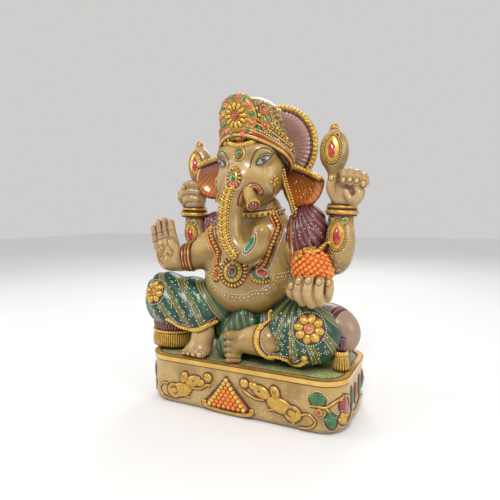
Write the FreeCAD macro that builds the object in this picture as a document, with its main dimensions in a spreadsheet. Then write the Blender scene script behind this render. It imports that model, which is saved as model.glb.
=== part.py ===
import FreeCAD, Part
import os
import Sketcher
from FreeCAD import Placement, Rotation, Vector

# A seated, four-armed, elephant-headed idol of carved and painted stone on a rounded plinth.
# Millimetres, +Z up. The figure faces -Y and its own right side is at -X.
# The origin is the middle of the plinth's underside.

# Driving sizes of the plinth and of the trims whose size repeats.
DIMENSIONS = {
    "plinth_width": 200,
    "plinth_depth": 98,
    "plinth_height": 48,
    "plinth_corner": 24,
    "foot_radius": 7,
    "rim_height": 5,
    "rim_width": 5,
    "rim_proud": 1,
    "grass_drop": 0.8,
    "relief_radius": 1.9,
    "sweet_radius": 4.6,
    "bangle_radius": 12.4,
    "bangle_wire": 2.7,
    "band_height": 6,
    "gem_radius": 2.6,
    "knee_gem_radius": 3.38,
    "flower_height": 6,
}

doc = FreeCAD.newDocument("idol")
sheet = doc.addObject("Spreadsheet::Sheet", "dims")
cell_count = 0
sub_parts = []


def add_cell(alias, value):
    """Write one named number into the next row of the sheet."""
    global cell_count
    cell_count += 1
    sheet.set(f"A{cell_count}", alias)
    sheet.set(f"B{cell_count}", str(value))
    sheet.setAlias(f"B{cell_count}", alias)


def bind(thing, values):
    """Give each property its own cell, named after the object and the property, and bind it."""
    for prop, value in values.items():
        alias = f"{thing.Name}_{prop.replace('.', '_').lower()}"
        add_cell(alias, value)
        thing.setExpression(prop, f"dims.{alias}")


def place(thing, centre, rotation=None):
    """Bind the place of an object to the sheet, after turning it."""
    if rotation:
        thing.Placement = Placement(Vector(), rotation)
    bind(thing, {"Placement.Base.x": centre[0], "Placement.Base.y": centre[1], "Placement.Base.z": centre[2]})


def keep(solid, label):
    """Name an object as a finished sub-part; a blank that had the name becomes the part's form."""
    for blank in doc.getObjectsByLabel(label):
        blank.Label = f"{label}_form"
    solid.Label = label
    sub_parts.append(solid)
    return solid


def plane(body, role):
    """One of a body's own origin planes."""
    return next(feature for feature in body.Origin.OriginFeatures if feature.Role == role)


def ellipsoid(name, centre, half, turn=0, tilt=0, lean=0):
    """An ellipsoid with half sizes along X, Y and Z, turned about Z, tilted about Y, leant about X."""
    solid = doc.addObject("Part::Ellipsoid", name)
    solid.Angle1 = -90
    solid.Angle2 = 90
    bind(solid, {"Radius2": half[0], "Radius3": half[1], "Radius1": half[2]})
    place(solid, centre, Rotation(turn, tilt, lean))
    return solid


def ball(name, centre, radius):
    """A sphere whose radius is an expression or a number."""
    solid = doc.addObject("Part::Sphere", name)
    solid.setExpression("Radius", str(radius))
    place(solid, centre)
    return solid


def limb(name, stations):
    """A smooth tapering tube through circles, each station being x, y, z and radius.

    Every circle starts on its front side, so the tube does not twist.
    """
    circles = []
    for number, (x, y, z, radius) in enumerate(stations):
        before = Vector(*stations[max(0, number - 1)][:3])
        after = Vector(*stations[min(len(stations) - 1, number + 1)][:3])
        circle = doc.addObject("Part::Circle", f"{name}_ring{number}")
        bind(circle, {"Radius": radius})
        place(circle, (x, y, z), Rotation(Vector(0, -1, 0), Vector(), after - before, "ZXY"))
        circles.append(circle)
    solid = doc.addObject("Part::Loft", name)
    solid.Sections = circles
    solid.Solid = True
    return solid


def ring(name, centre, radius, wire, axis):
    """A torus whose two radii are expressions or numbers, about the given axis."""
    solid = doc.addObject("Part::Torus", name)
    solid.setExpression("Radius1", str(radius))
    solid.setExpression("Radius2", str(wire))
    place(solid, centre, Rotation(Vector(0, 0, 1), Vector(*axis)))
    return solid


def fuse(name, solids):
    """Solids joined into one, or kept together as a group where they do not touch."""
    joined = doc.addObject("Part::MultiFuse", name)
    joined.Shapes = solids
    return joined


def carve(name, solid, *neighbours):
    """A solid that gives way to each of its neighbours in turn."""
    for number, neighbour in enumerate(neighbours):
        rest = doc.addObject("Part::Cut", f"{name}_cut{number}")
        rest.Base = solid
        rest.Tool = neighbour
        solid = rest
    return solid


def rounded_slab(name, width, depth, corner, bottom, height):
    """A padded rectangle centred on the Z axis with rounded corners; all sizes are expressions."""
    body = doc.addObject("PartDesign::Body", name)
    sketch = body.newObject("Sketcher::SketchObject", f"{name}_outline")
    sketch.AttachmentSupport = [(plane(body, "XY_Plane"), "")]
    sketch.MapMode = "FlatFace"
    corners = [Vector(-1, -1, 0), Vector(1, -1, 0), Vector(1, 1, 0), Vector(-1, 1, 0)]
    for start, end in zip(corners, corners[1:] + corners[:1]):
        sketch.addGeometry(Part.LineSegment(start, end))
    for side in range(4):
        sketch.addConstraint(Sketcher.Constraint("Coincident", side, 2, (side + 1) % 4, 1))
        sketch.addConstraint(Sketcher.Constraint("Vertical" if side % 2 else "Horizontal", side))
    sketch.addConstraint(Sketcher.Constraint("Symmetric", 0, 1, 1, 2, -1, 1))
    across = sketch.addConstraint(Sketcher.Constraint("DistanceX", 0, 1, 0, 2, 2.0))
    along = sketch.addConstraint(Sketcher.Constraint("DistanceY", 1, 1, 1, 2, 2.0))
    sketch.setExpression(f"Constraints[{across}]", width)
    sketch.setExpression(f"Constraints[{along}]", depth)
    pad = body.newObject("PartDesign::Pad", f"{name}_pad")
    pad.Profile = sketch
    pad.setExpression("Length", height)
    doc.recompute()
    round_edges(body, pad, corner, lambda box: box.ZLength > max(box.XLength, box.YLength))
    body.setExpression("Placement.Base.z", bottom)
    return body


def round_edges(body, base, radius, wanted):
    """Fillet those edges of a feature whose bounding boxes are wanted."""
    names = [f"Edge{i + 1}" for i, edge in enumerate(base.Shape.Edges) if wanted(edge.BoundBox)]
    fillet = body.newObject("PartDesign::Fillet", f"{base.Name}_round")
    fillet.Base = (base, names)
    fillet.setExpression("Radius", radius)
    doc.recompute()
    return fillet


for dimension, size in DIMENSIONS.items():
    add_cell(dimension, size)
doc.recompute()


# ---- plinth ------------------------------------------------------------------------------

block = rounded_slab("block", "dims.plinth_width - 2 * dims.rim_proud", "dims.plinth_depth - 2 * dims.rim_proud",
                     "dims.plinth_corner - dims.rim_proud", "0", "dims.plinth_height - dims.rim_height")
round_edges(block, block.Tip, "dims.foot_radius", lambda box: box.ZMax < 1e-3)
keep(block, "plinth_block")

rim_outer = rounded_slab("rim_outer", "dims.plinth_width", "dims.plinth_depth", "dims.plinth_corner",
                         "dims.plinth_height - dims.rim_height", "dims.rim_height")
rim_inner = rounded_slab("rim_inner", "dims.plinth_width - 2 * dims.rim_width",
                         "dims.plinth_depth - 2 * dims.rim_width", "dims.plinth_corner - dims.rim_width",
                         "dims.plinth_height - dims.rim_height", "dims.rim_height")
keep(carve("rim", rim_outer, rim_inner), "plinth_rim")

grass = rounded_slab("grass", "dims.plinth_width - 2 * dims.rim_width",
                     "dims.plinth_depth - 2 * dims.rim_width", "dims.plinth_corner - dims.rim_width",
                     "dims.plinth_height - dims.rim_height", "dims.rim_height - dims.grass_drop")
keep(grass, "plinth_top")

# Reliefs are centred just inside the plinth's faces, so that the faces cut them cleanly.
SINK = 0.35
FRONT = DIMENSIONS["rim_proud"] - DIMENSIONS["plinth_depth"] / 2 + SINK
SIDE = DIMENSIONS["plinth_width"] / 2 - DIMENSIONS["rim_proud"] - SINK


def on_front(name, x, z, half_x, half_z, tilt=0, half_y=2.0):
    """A low oval mound on the plinth's front face."""
    return ellipsoid(name, (x, FRONT, z), (half_x, half_y, half_z), tilt=tilt)


def mouse(name, facing, x, z, stretch, tilt):
    """A mouse in relief: body, haunch, head, ear, forelegs and tail. It faces +X when facing is 1."""
    wire = "dims.relief_radius"
    body = on_front(f"{name}_body", x, z, 13 * stretch, 7.5, tilt)
    haunch = on_front(f"{name}_haunch", x - 2 * facing, z - 3, 6.5, 6.5, half_y=2.8)
    head_x = x + 19 * stretch * facing
    head_z = z + 12
    head = on_front(f"{name}_head", head_x, head_z, 9, 5, -25 * facing, half_y=2.6)
    ear = ring(f"{name}_ear", (head_x - 12 * facing, FRONT, head_z + 3), 3.6, wire, (0, 1, 0))
    paw_x = head_x + 16 * facing
    legs = limb(f"{name}_legs", [(head_x - 8 * facing, FRONT, z + 5, 2.6), (head_x + 4 * facing, FRONT, z + 4, 1.8),
                                 (paw_x, FRONT, head_z - 3, 1.4)])
    tail = ring(f"{name}_tail", (x - 18 * stretch * facing, FRONT, z - 5), 5.2, wire, (0, 1, 0))
    return carve(name, fuse(f"{name}_whole", [body, haunch, head, ear, legs, tail]), block)


keep(mouse("mouse_a", 1, -61, 16, 0.9, -12), "right_mouse")
keep(mouse("mouse_b", -1, 52, 17, 1.25, 30), "left_mouse")


ROW_RISE = 0.87  # height of a row of sweets over the one below, as a share of their pitch


def sweet_pile(name, x, bottom, rows, pitch):
    """Balls stacked in a triangle on the front face."""
    balls = []
    for row in range(rows):
        for place_in_row in range(rows - row):
            offset = (place_in_row - (rows - row - 1) / 2) * pitch
            centre = (x + offset, FRONT + 1, bottom + row * pitch * ROW_RISE)
            balls.append(ball(f"{name}_{row}_{place_in_row}", centre, "dims.sweet_radius"))
    return balls


mouse_sweets = [ball("sweet_a", (-26.5, FRONT, 32.5), 4.2), ball("sweet_b", (11.5, FRONT, 34.2), 4.2)]
pile = sweet_pile("pile", -7.2, 12.5, 5, 8.4)[:-1]
keep(carve("sweets", fuse("sweets_whole", pile + mouse_sweets), block), "plinth_sweets")
dish = on_front("dish", -7.2, 8.5, 24, 5, half_y=3.2)
keep(carve("dish_rest", dish, block, fuse("pile_only", pile)), "sweet_dish")

VINE_X = 90
vine = [ring("vine_curl", (VINE_X - 1, FRONT, 25), 6.5, "dims.relief_radius", (0, 1, 0)),
        ring("vine_side", (SIDE, -12, 22), 8, "dims.relief_radius", (1, 0, 0))]
keep(carve("vine_rest", fuse("vine", vine), block), "vine_scrolls")
leaves = [on_front("leaf_a", 77, 31, 7, 5), on_front("leaf_b", 87, 14, 5, 6, 20), on_front("leaf_c", -87, 28, 4, 8),
          ellipsoid("leaf_d", (SIDE, -8, 32), (2, 4, 9))]
keep(carve("leaves_rest", fuse("leaves", leaves), block, *vine), "vine_leaves")
buds = [ball("bud_a", (77, FRONT, 20.5), "dims.gem_radius"), ball("bud_b", (-93, FRONT + 2, 14), "dims.gem_radius"),
        ellipsoid("bud_c", (SIDE, -24, 30), (2, 4, 8)), ellipsoid("bud_d", (SIDE, 8, 30), (2, 4, 8))]
keep(carve("buds_rest", fuse("buds", buds), block, *vine), "vine_buds")

# ---- body and legs -----------------------------------------------------------------------

torso = fuse("torso", [ellipsoid("belly", (-6, -2, 121), (47, 37, 38)),
                       ellipsoid("chest", (0, 5, 158), (45, 27, 34)),
                       ellipsoid("neck", (3, -4, 190), (24, 20, 16))])
keep(carve("torso_rest", torso, grass), "torso")

seat = ellipsoid("seat", (2, 6, 74), (62, 33, 30))
keep(carve("seat_rest", seat, torso, grass), "seat_cloth")

right_leg_forms = [limb("right_thigh", [(-36, -4, 92, 24), (-64, -15, 98, 23), (-86, -22, 102, 18)]),
                   ellipsoid("right_knee", (-91, -24, 102), (22, 18.5, 24)),
                   limb("right_shin", [(-88, -26, 93, 19), (-70, -26, 88, 17), (-48, -26, 82, 14)])]
right_leg = fuse("right_leg", right_leg_forms)
keep(carve("right_leg_rest", right_leg, torso, seat, grass), "right_leg_cloth")

left_leg = fuse("left_leg", [ellipsoid("left_knee", (58, -18, 76), (34, 25, 28), tilt=8),
                             limb("left_thigh", [(30, 6, 92, 22), (48, -4, 88, 23), (60, -14, 82, 22)])])
keep(carve("left_leg_rest", left_leg, torso, seat, grass), "left_leg_cloth")

right_foot = fuse("right_foot", [limb("right_ankle", [(-46, -26, 78, 11), (-45, -28, 64, 12), (-46, -31, 55, 12)]),
                                 ellipsoid("right_toes", (-47, -36, 53), (13, 10, 6.5), turn=8)])
keep(carve("right_foot_rest", right_foot, right_leg, seat, grass), "right_foot")

left_foot = fuse("left_foot", [limb("left_calf", [(26, -30, 70, 15), (10, -33, 70, 13), (-2, -34, 67, 9)]),
                               ellipsoid("left_toes", (-6, -37, 62), (7, 8, 14), tilt=12)])
keep(carve("left_foot_rest", left_foot, left_leg, seat, grass), "left_foot")

cuff = limb("cuff", [(-74, -40, 80, 3), (-60, -43, 74, 3.2), (-44, -43, 75, 3.2), (-28, -38, 82, 3)])
keep(carve("cuff_rest", cuff, *right_leg_forms, right_foot), "right_cuff")

hem = limb("hem", [(22, -42, 86, 2.8), (22, -45, 68, 3), (32, -45, 55, 3), (46, -45, 51, 3), (62, -43, 61, 2.6)])
keep(carve("hem_rest", hem, left_leg, left_foot, grass), "left_hem")

pleats = limb("pleats", [(0, -26, 90, 8), (-8, -27, 76, 11), (-16, -28, 60, 12)])
keep(carve("pleats_rest", pleats, torso, seat, left_foot, right_foot, *right_leg_forms, left_leg, grass), "lap_pleats")


def medallion(name, centre, radius, outward):
    """A low round flower boss whose flat side faces outward."""
    solid = doc.addObject("Part::Cylinder", name)
    solid.setExpression("Height", "dims.flower_height")
    bind(solid, {"Radius": radius})
    place(solid, centre, Rotation(Vector(0, 0, 1), Vector(*outward)))
    return solid


right_flower = medallion("right_flower", (-93, -38, 107.5), 12, (-0.3, -0.92, 0.2))
left_flower = medallion("left_flower", (66, -39, 86), 13.5, (0.2, -0.9, 0.3))
right_knee = right_leg_forms[1]
keep(carve("right_flower_rest", right_flower, right_knee), "right_knee_medallion")
keep(carve("left_flower_rest", left_flower, left_leg), "left_knee_medallion")
knee_gems = [ball("right_knee_gem", (-94.7, -44.1, 108.8), "dims.knee_gem_radius"),
             ball("left_knee_gem", (67.2, -44.4, 87.9), "dims.knee_gem_radius")]
keep(carve("knee_gems_rest", fuse("knee_gems", knee_gems), right_flower, left_flower), "knee_gems")

fringes = fuse("fringes", [limb("skirt_fringe", [(-88, -10, 76, 20), (-90, -12, 62, 23), (-90, -12, 48, 22)]),
                           limb("tassel", [(88, -14, 70, 5), (89, -15, 62, 6), (89, -16, 48, 7)])])
keep(carve("fringes_rest", fringes, right_leg, left_leg, seat, grass), "gold_fringes")

bolster = ellipsoid("bolster", (66, 20, 72), (34, 22, 27), turn=-12)
keep(carve("bolster_rest", bolster, left_leg, seat, torso, grass, fringes), "bolster")

# ---- arms --------------------------------------------------------------------------------

shawls = {"right": ellipsoid("shawl_a", (-41, 0, 166), (16, 17, 22), tilt=-10),
          "left": ellipsoid("shawl_b", (50, -2, 163), (17, 17, 28), tilt=6)}
for side, shawl in shawls.items():
    keep(carve(f"{side}_shawl_rest", shawl, torso), f"{side}_shawl")

ARMS = {
    "rear_right_upper_arm": [(-42, 6, 170, 14), (-52, 2, 156, 13.5), (-58, -2, 150, 13)],
    "rear_left_upper_arm": [(48, 6, 160, 15), (64, 2, 147, 15), (77, -2, 142, 14)],
    "rear_right_forearm": [(-58, -2, 150, 13), (-64, -4, 162, 13), (-68, -4, 190, 10)],
    "rear_left_forearm": [(79, -3, 141, 14), (83, -4, 160, 14), (85, -4, 190, 10)],
    "front_right_arm": [(-42, -12, 156, 15), (-54, -20, 144, 15), (-76, -28, 141, 12)],
    "front_left_arm": [(50, -4, 146, 15), (60, -14, 130, 14), (67, -28, 118, 11)],
}
arms = {name: limb(name, stations) for name, stations in ARMS.items()}
BEHIND = {
    "rear_right_upper_arm": [torso, shawls["right"]],
    "rear_left_upper_arm": [torso, shawls["left"]],
    "rear_right_forearm": [arms["rear_right_upper_arm"], shawls["right"]],
    "rear_left_forearm": [arms["rear_left_upper_arm"], shawls["left"]],
    "front_right_arm": [torso, shawls["right"], arms["rear_right_upper_arm"]],
    "front_left_arm": [torso, shawls["left"], arms["rear_left_upper_arm"], left_leg],
}
for name, neighbours in BEHIND.items():
    keep(carve(f"{name}_rest", arms[name], *neighbours), name)

hands = {
    "blessing_hand": ellipsoid("blessing", (-83, -34, 152), (17, 8, 30), turn=180, tilt=12),
    "sweets_hand": ellipsoid("offering", (66, -32, 119), (17, 13, 13)),
    "rear_right_hand": ellipsoid("upper_a", (-68, -5, 206), (14, 9, 17)),
    "rear_left_hand": ellipsoid("upper_b", (90, -6, 206), (17, 10, 17), tilt=20),
}
HELD_BY = {"blessing_hand": [arms["front_right_arm"]], "sweets_hand": [arms["front_left_arm"], left_leg],
           "rear_right_hand": [arms["rear_right_forearm"]], "rear_left_hand": [arms["rear_left_forearm"]]}
for name, hand in hands.items():
    keep(carve(f"{name}_rest", hand, *HELD_BY[name]), name)

BANGLES = {
    "rear_right_forearm": ((-68, -4, 185), (0, 0, 1)),
    "rear_left_forearm": ((85, -4, 185), (0, 0, 1)),
    "front_right_arm": ((-62, -24, 143), (-1, -0.3, -0.1)),
}
bangles = [carve(f"{name}_bangle_rest",
                 ring(f"{name}_bangle", centre, "dims.bangle_radius", "dims.bangle_wire", axis),
                 arms[name])
           for name, (centre, axis) in BANGLES.items()]
keep(fuse("bangles", bangles), "bangles")

heap = fuse("heap", [ellipsoid("heap_low", (66, -26, 133), (17, 14, 12)),
                     ellipsoid("heap_high", (66, -22, 144), (14, 11, 12))])
keep(carve("heap_rest", heap, hands["sweets_hand"], shawls["left"], torso, *arms.values()), "hand_sweets")

EMBLEMS = {"right": (-63, 0, 236), "left": (77, 0, 241)}
emblems = {}
for side, (x, y, z) in EMBLEMS.items():
    lean = -10 if side == "right" else 4
    emblems[side] = fuse(f"{side}_emblem", [ellipsoid(f"{side}_bulb", (x, y, z), (13, 9, 17), tilt=lean),
                                            limb(f"{side}_stalk", [(x, y, z - 8, 7), (x, y, z - 18, 6),
                                                                   (x + 2, y - 2, z - 30, 7)]),
                                            ball(f"{side}_knob", (x - lean / 6, y, z + 19), 4.5)])
    keep(carve(f"{side}_emblem_rest", emblems[side], hands[f"rear_{side}_hand"]), f"{side}_emblem")

emblem_gems = [ellipsoid(f"{side}_emblem_gem", (x, y - 8, z), (3.2, 3, 7)) for side, (x, y, z) in EMBLEMS.items()]
forearm_gems = [ellipsoid("right_forearm_gem", (-65, -15.5, 168), (2.6, 3, 7)),
                ellipsoid("left_forearm_gem", (84, -17, 168), (2.6, 3, 8))]
keep(carve("arm_gems_rest", fuse("arm_gems", emblem_gems + forearm_gems), *emblems.values(), *arms.values()),
     "arm_gems")

# ---- head --------------------------------------------------------------------------------

head = fuse("head", [ellipsoid("skull", (3, -12, 224), (32, 29, 31)),
                     ellipsoid("muzzle", (2, -30, 212), (17, 15, 17))])
keep(carve("head_rest", head, torso), "head")

trunk = limb("trunk", [(1, -36, 212, 13), (-4, -43, 194, 10.5), (-3, -47, 174, 9.5), (2, -48, 158, 9),
                       (13, -49, 150, 8.6), (24, -49, 155, 8), (28, -49, 166, 6.5)])
keep(carve("trunk_rest", trunk, head, torso), "trunk")

ears = {"right": ellipsoid("ear_a", (-44, -4, 221), (19, 5, 17), tilt=-35, turn=12),
        "left": ellipsoid("ear_b", (47, -2, 212), (22, 5, 23), tilt=25, turn=-12)}
for side, ear in ears.items():
    keep(carve(f"{side}_ear_rest", ear, head, torso, emblems[side]), f"{side}_ear")

tusk = limb("tusk", [(9, -38, 207, 5), (16, -46, 200, 4.8), (22, -52, 193, 4.4)])
keep(carve("tusk_rest", tusk, head, trunk), "tusk")
tusk_axis = (6, -6, -7)
tusk_cap = ring("tusk_cap", (15, -45, 201), 4.9, 1.6, tusk_axis)
keep(carve("tusk_cap_rest", tusk_cap, tusk, head, trunk), "tusk_cap")

braid = limb("braid", [(-3, -50, 206, 4), (-5, -54, 192, 4), (-3, -57, 174, 4), (2, -57, 158, 3.5)])
keep(carve("braid_rest", braid, trunk, head), "trunk_braid")
trunk_gem = ellipsoid("trunk_leaf", (19, -57, 163), (3.2, 3, 9), tilt=25)
keep(carve("trunk_leaf_rest", trunk_gem, trunk), "trunk_gem")
brow = fuse("brow", [ellipsoid("brow_drop", (0, -43, 215), (6, 4, 9)), ellipsoid("brow_oval", (2, -41, 238), (5, 3.5, 6.5))])
keep(carve("brow_rest", brow, head, trunk, braid), "brow_ornaments")


def oval_band(name, centre, half_x, half_y, height):
    """A flat elliptical plate, the blank of a band that goes round the head."""
    ellipse = doc.addObject("Part::Ellipse", f"{name}_outline")
    bind(ellipse, {"MajorRadius": half_x, "MinorRadius": half_y})
    place(ellipse, centre)
    solid = doc.addObject("Part::Extrusion", name)
    solid.Base = ellipse
    solid.Dir = Vector(0, 0, 1)
    solid.setExpression("LengthFwd", height)
    solid.Solid = True
    return solid


headband = oval_band("headband_blank", (5, -12, 243), 36, 33, "dims.band_height")
keep(carve("headband_rest", headband, head), "headband")
crown = ellipsoid("crown_dome", (9, -10, 258), (37, 31, 35), tilt=8)
keep(carve("crown_rest", crown, head, headband), "crown")
crest = ellipsoid("crest_shield", (7, -38, 266), (17, 7, 19), lean=-14)
keep(carve("crest_rest", crest, crown, headband, head), "crown_crest")
CREST_GEMS = [(7, -45.5, 268), (-6, -42, 262), (20, -42, 262), (-4, -41, 278), (18, -41, 278), (7, -39, 285)]
crown_gems = [ball(f"crown_gem{number}", centre, "dims.gem_radius") for number, centre in enumerate(CREST_GEMS)]
keep(carve("crown_gems_rest", fuse("crown_gems", crown_gems), crest, crown), "crown_gems")

halo = ellipsoid("halo_disc", (15, 18, 249), (42, 8, 41))
keep(carve("halo_rest", halo, crown, head, headband, torso, *ears.values(), *emblems.values()), "halo")

# ---- jewellery on the chest --------------------------------------------------------------

COLLAR = [(-24, -14, 190), (-12, -24, 182), (4, -28, 178), (20, -22, 182), (30, -12, 190)]
collar = limb("collar", [(x, y, z, 3) for x, y, z in COLLAR])
keep(carve("collar_rest", collar, torso, head, trunk), "collar")

CHAIN = {
    "right": [(-44, -18, 176, 2.2), (-40, -26, 160, 2.4), (-32, -34, 146, 2.4), (-25, -37, 134, 2.4)],
    "left": [(36, -14, 186, 2.2), (38, -24, 170, 2.4), (33, -33, 154, 2.4), (24, -38, 140, 2.4)],
}
chains = [limb(f"{side}_chain", stations) for side, stations in CHAIN.items()]
pendants = [ellipsoid("pendant_mid", (-7, -40, 132), (13.5, 4, 13.5)),
            ellipsoid("pendant_left", (20, -36, 132), (10, 4, 9.5), turn=25),
            ellipsoid("pendant_right", (-26, -34, 128), (7, 4, 8), turn=-20)]
keep(carve("pendants_rest", fuse("pendants", pendants), torso), "pendants")
keep(carve("chains_rest", fuse("chains", chains), torso, *pendants), "necklace_chains")


# ---- checks and export -------------------------------------------------------------------

doc.recompute()
for thing in doc.Objects:
    if {"Invalid", "Error"} & set(thing.State):
        raise RuntimeError(f"{thing.Name} did not compute: {thing.State}")
os.makedirs("parts", exist_ok=True)
for solid in sub_parts:
    if solid.Shape.isNull() or not solid.Shape.isValid() or not solid.Shape.Solids:
        raise RuntimeError(f"{solid.Label} has no valid solid")
    solid.Shape.exportStep(f"parts/{solid.Label}.step")
print(len(sub_parts), "sub-parts written")
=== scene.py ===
import math

import bpy
import numpy as np
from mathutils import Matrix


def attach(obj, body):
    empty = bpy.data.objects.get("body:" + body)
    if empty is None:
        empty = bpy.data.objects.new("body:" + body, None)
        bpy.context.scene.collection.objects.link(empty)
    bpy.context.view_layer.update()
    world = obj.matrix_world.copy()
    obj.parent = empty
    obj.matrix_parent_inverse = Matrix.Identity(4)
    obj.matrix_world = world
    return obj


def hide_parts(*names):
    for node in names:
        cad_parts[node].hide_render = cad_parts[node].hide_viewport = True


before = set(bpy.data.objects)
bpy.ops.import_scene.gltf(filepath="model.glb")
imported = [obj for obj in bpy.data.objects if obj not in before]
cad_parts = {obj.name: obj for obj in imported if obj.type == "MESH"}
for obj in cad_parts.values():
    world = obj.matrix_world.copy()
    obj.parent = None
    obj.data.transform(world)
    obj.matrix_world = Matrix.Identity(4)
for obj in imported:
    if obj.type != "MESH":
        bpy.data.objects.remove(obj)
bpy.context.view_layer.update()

import openvdb
from mathutils import Matrix, Vector
from mathutils.bvhtree import BVHTree

# The idol's looks: carved stone sculpted as distance fields, and gold, cloth and gem work laid on
# its surfaces.
# Lengths are millimetres until a mesh is made. The figure faces -Y, and its own right side is at -X.

MM = 0.001
UP = (0, 0, 1)
FRONT = (0, -1, 0)


# ---- small vector help -----------------------------------------------------------------------

def unit(v):
    """A vector scaled to length one."""
    v = np.asarray(v, float)
    return v / max(np.linalg.norm(v), 1e-9)


def turned(x=0, y=0, z=0):
    """A rotation by degrees about X, then Y, then Z."""
    turn = Matrix.Rotation(math.radians(z), 3, "Z") @ Matrix.Rotation(math.radians(y), 3, "Y")
    return np.array(turn @ Matrix.Rotation(math.radians(x), 3, "X"))


def spline(points, per_span=8, closed=False):
    """A smooth curve through points of any dimension."""
    p = np.asarray(points, float)
    count = len(p) if closed else len(p) - 1
    steps = np.linspace(0, 1, per_span, endpoint=False)[:, None]
    spans = []
    for i in range(count):
        if closed:
            a, b, c, d = (p[(i + k) % len(p)] for k in (-1, 0, 1, 2))
        else:
            b, c = p[i], p[i + 1]
            a = p[i - 1] if i else 2 * b - c
            d = p[i + 2] if i + 2 < len(p) else 2 * c - b
        spans.append(0.5 * (2 * b + (c - a) * steps + (2 * a - 5 * b + 4 * c - d) * steps ** 2
                            + (3 * b - a - 3 * c + d) * steps ** 3))
    return np.vstack(spans if closed else spans + [p[-1:]])


def spaced(path, pitch, closed=False):
    """Points at an even pitch along a path."""
    path = np.asarray(path, float)
    if closed:
        path = np.vstack([path, path[:1]])
    lengths = np.r_[0, np.cumsum(np.linalg.norm(np.diff(path, axis=0), axis=1))]
    count = max(2, int(round(lengths[-1] / pitch)))
    wanted = np.linspace(0, lengths[-1], count, endpoint=not closed)
    return np.stack([np.interp(wanted, lengths, path[:, k]) for k in range(path.shape[1])], axis=1)


# ---- sculpting with distance fields ----------------------------------------------------------

class Clay:
    """A signed distance field on a grid: negative inside."""

    def __init__(self, low, high, step):
        self.step = step * 1.0
        self.low = np.array(low, float)
        self.shape = tuple(int(math.ceil((h - l) / self.step)) + 1 for l, h in zip(low, high))
        self.field = np.full(self.shape, 60.0, np.float32)

    def window(self, low, high):
        """The part of the grid between two corners, and its coordinates."""
        first = np.clip(np.floor((np.array(low) - self.low) / self.step).astype(int), 0, self.shape)
        last = np.clip(np.ceil((np.array(high) - self.low) / self.step).astype(int) + 1, 0, self.shape)
        axes = [self.low[k] + np.arange(first[k], last[k], dtype=np.float32) * self.step for k in range(3)]
        where = tuple(slice(a, b) for a, b in zip(first, last))
        return where, np.meshgrid(*axes, indexing="ij")

    def blend(self, where, distance, soft, cut=False):
        """Join a shape to the clay, or cut it away, with a rounded seam."""
        old = self.field[where]
        new = -distance if cut else distance
        sign = -1.0 if cut else 1.0
        a, b = sign * old, sign * new
        if soft <= 0:
            self.field[where] = sign * np.minimum(a, b)
            return
        share = np.clip(0.5 + 0.5 * (b - a) / soft, 0, 1)
        self.field[where] = sign * (b + (a - b) * share - soft * share * (1 - share))

    def ball(self, centre, radii, turn=None, soft=3.0, cut=False):
        """An ellipsoid."""
        centre = np.array(centre, float)
        radii = np.broadcast_to(np.array(radii, float), 3)
        reach = radii.max() + soft + 3
        where, (x, y, z) = self.window(centre - reach, centre + reach)
        p = np.stack([x - centre[0], y - centre[1], z - centre[2]], -1)
        if turn is not None:
            p = p @ turn
        near = np.linalg.norm(p / radii, axis=-1)
        slope = np.linalg.norm(p / radii ** 2, axis=-1)
        self.blend(where, near * (near - 1) / np.maximum(slope, 1e-6), soft, cut)

    def limb(self, stations, soft=3.0, cut=False, smooth=6, flat=None):
        """A tapering round limb through stations of x, y, z and radius; flat squeezes it along Y."""
        path = spline(stations, smooth) if smooth and len(stations) > 2 else np.array(stations, float)
        reach = path[:, 3].max() + soft + 3
        where, (x, y, z) = self.window(path[:, :3].min(0) - reach, path[:, :3].max(0) + reach)
        if x.size == 0:
            return
        squeeze = 1.0 if flat is None else flat
        best = np.full(x.shape, 60.0, np.float32)
        for a, b in zip(path[:-1], path[1:]):
            run = b[:3] - a[:3]
            length = max(float(run @ run), 1e-9)
            t = np.clip(((x - a[0]) * run[0] + (y - a[1]) * run[1] + (z - a[2]) * run[2]) / length, 0, 1)
            away = np.sqrt((x - a[0] - t * run[0]) ** 2 + ((y - a[1] - t * run[1]) / squeeze) ** 2
                           + (z - a[2] - t * run[2]) ** 2)
            np.minimum(best, away - a[3] - t * (b[3] - a[3]), out=best)
        self.blend(where, best, soft, cut)

    def below(self, height, soft=0.0):
        """Cut away everything below a height."""
        where, (_, _, z) = self.window(self.low, self.low + np.array(self.shape) * self.step)
        self.blend(where, z - height, soft, cut=True)

    def mesh(self, name, material):
        """The surface of the clay as a smooth mesh object."""
        grid = openvdb.FloatGrid(3.0 * self.step)
        grid.copyFromArray(np.clip(self.field, -3 * self.step, 3 * self.step))
        points, triangles, quads = grid.convertToPolygons(isovalue=0.0)
        points = np.asarray(points, float) * self.step + self.low
        faces = [np.asarray(f) for f in (triangles, quads) if len(f)]
        obj = raw_mesh(name, points, faces, [material])
        return obj


def raw_mesh(name, points, faces, materials, numbers=None):
    """A mesh object from points in millimetres and arrays of faces, wound outward."""
    mesh = bpy.data.meshes.new(name)
    mesh.vertices.add(len(points))
    mesh.vertices.foreach_set("co", (np.asarray(points) * MM).astype(np.float32).ravel())
    loops = np.concatenate([f.ravel() for f in faces]).astype(np.int32)
    sizes = np.concatenate([np.full(len(f), f.shape[1]) for f in faces])
    mesh.loops.add(len(loops))
    mesh.loops.foreach_set("vertex_index", loops)
    mesh.polygons.add(len(sizes))
    mesh.polygons.foreach_set("loop_start", np.r_[0, np.cumsum(sizes)[:-1]].astype(np.int32))
    for material in materials:
        mesh.materials.append(material)
    if numbers is not None:
        mesh.polygons.foreach_set("material_index", np.asarray(numbers, np.int32))
    mesh.update(calc_edges=True)
    mesh.validate()
    if signed_volume(mesh) < 0:
        mesh.flip_normals()
    mesh.shade_smooth()
    obj = bpy.data.objects.new(name, mesh)
    bpy.context.scene.collection.objects.link(obj)
    return obj


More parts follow.
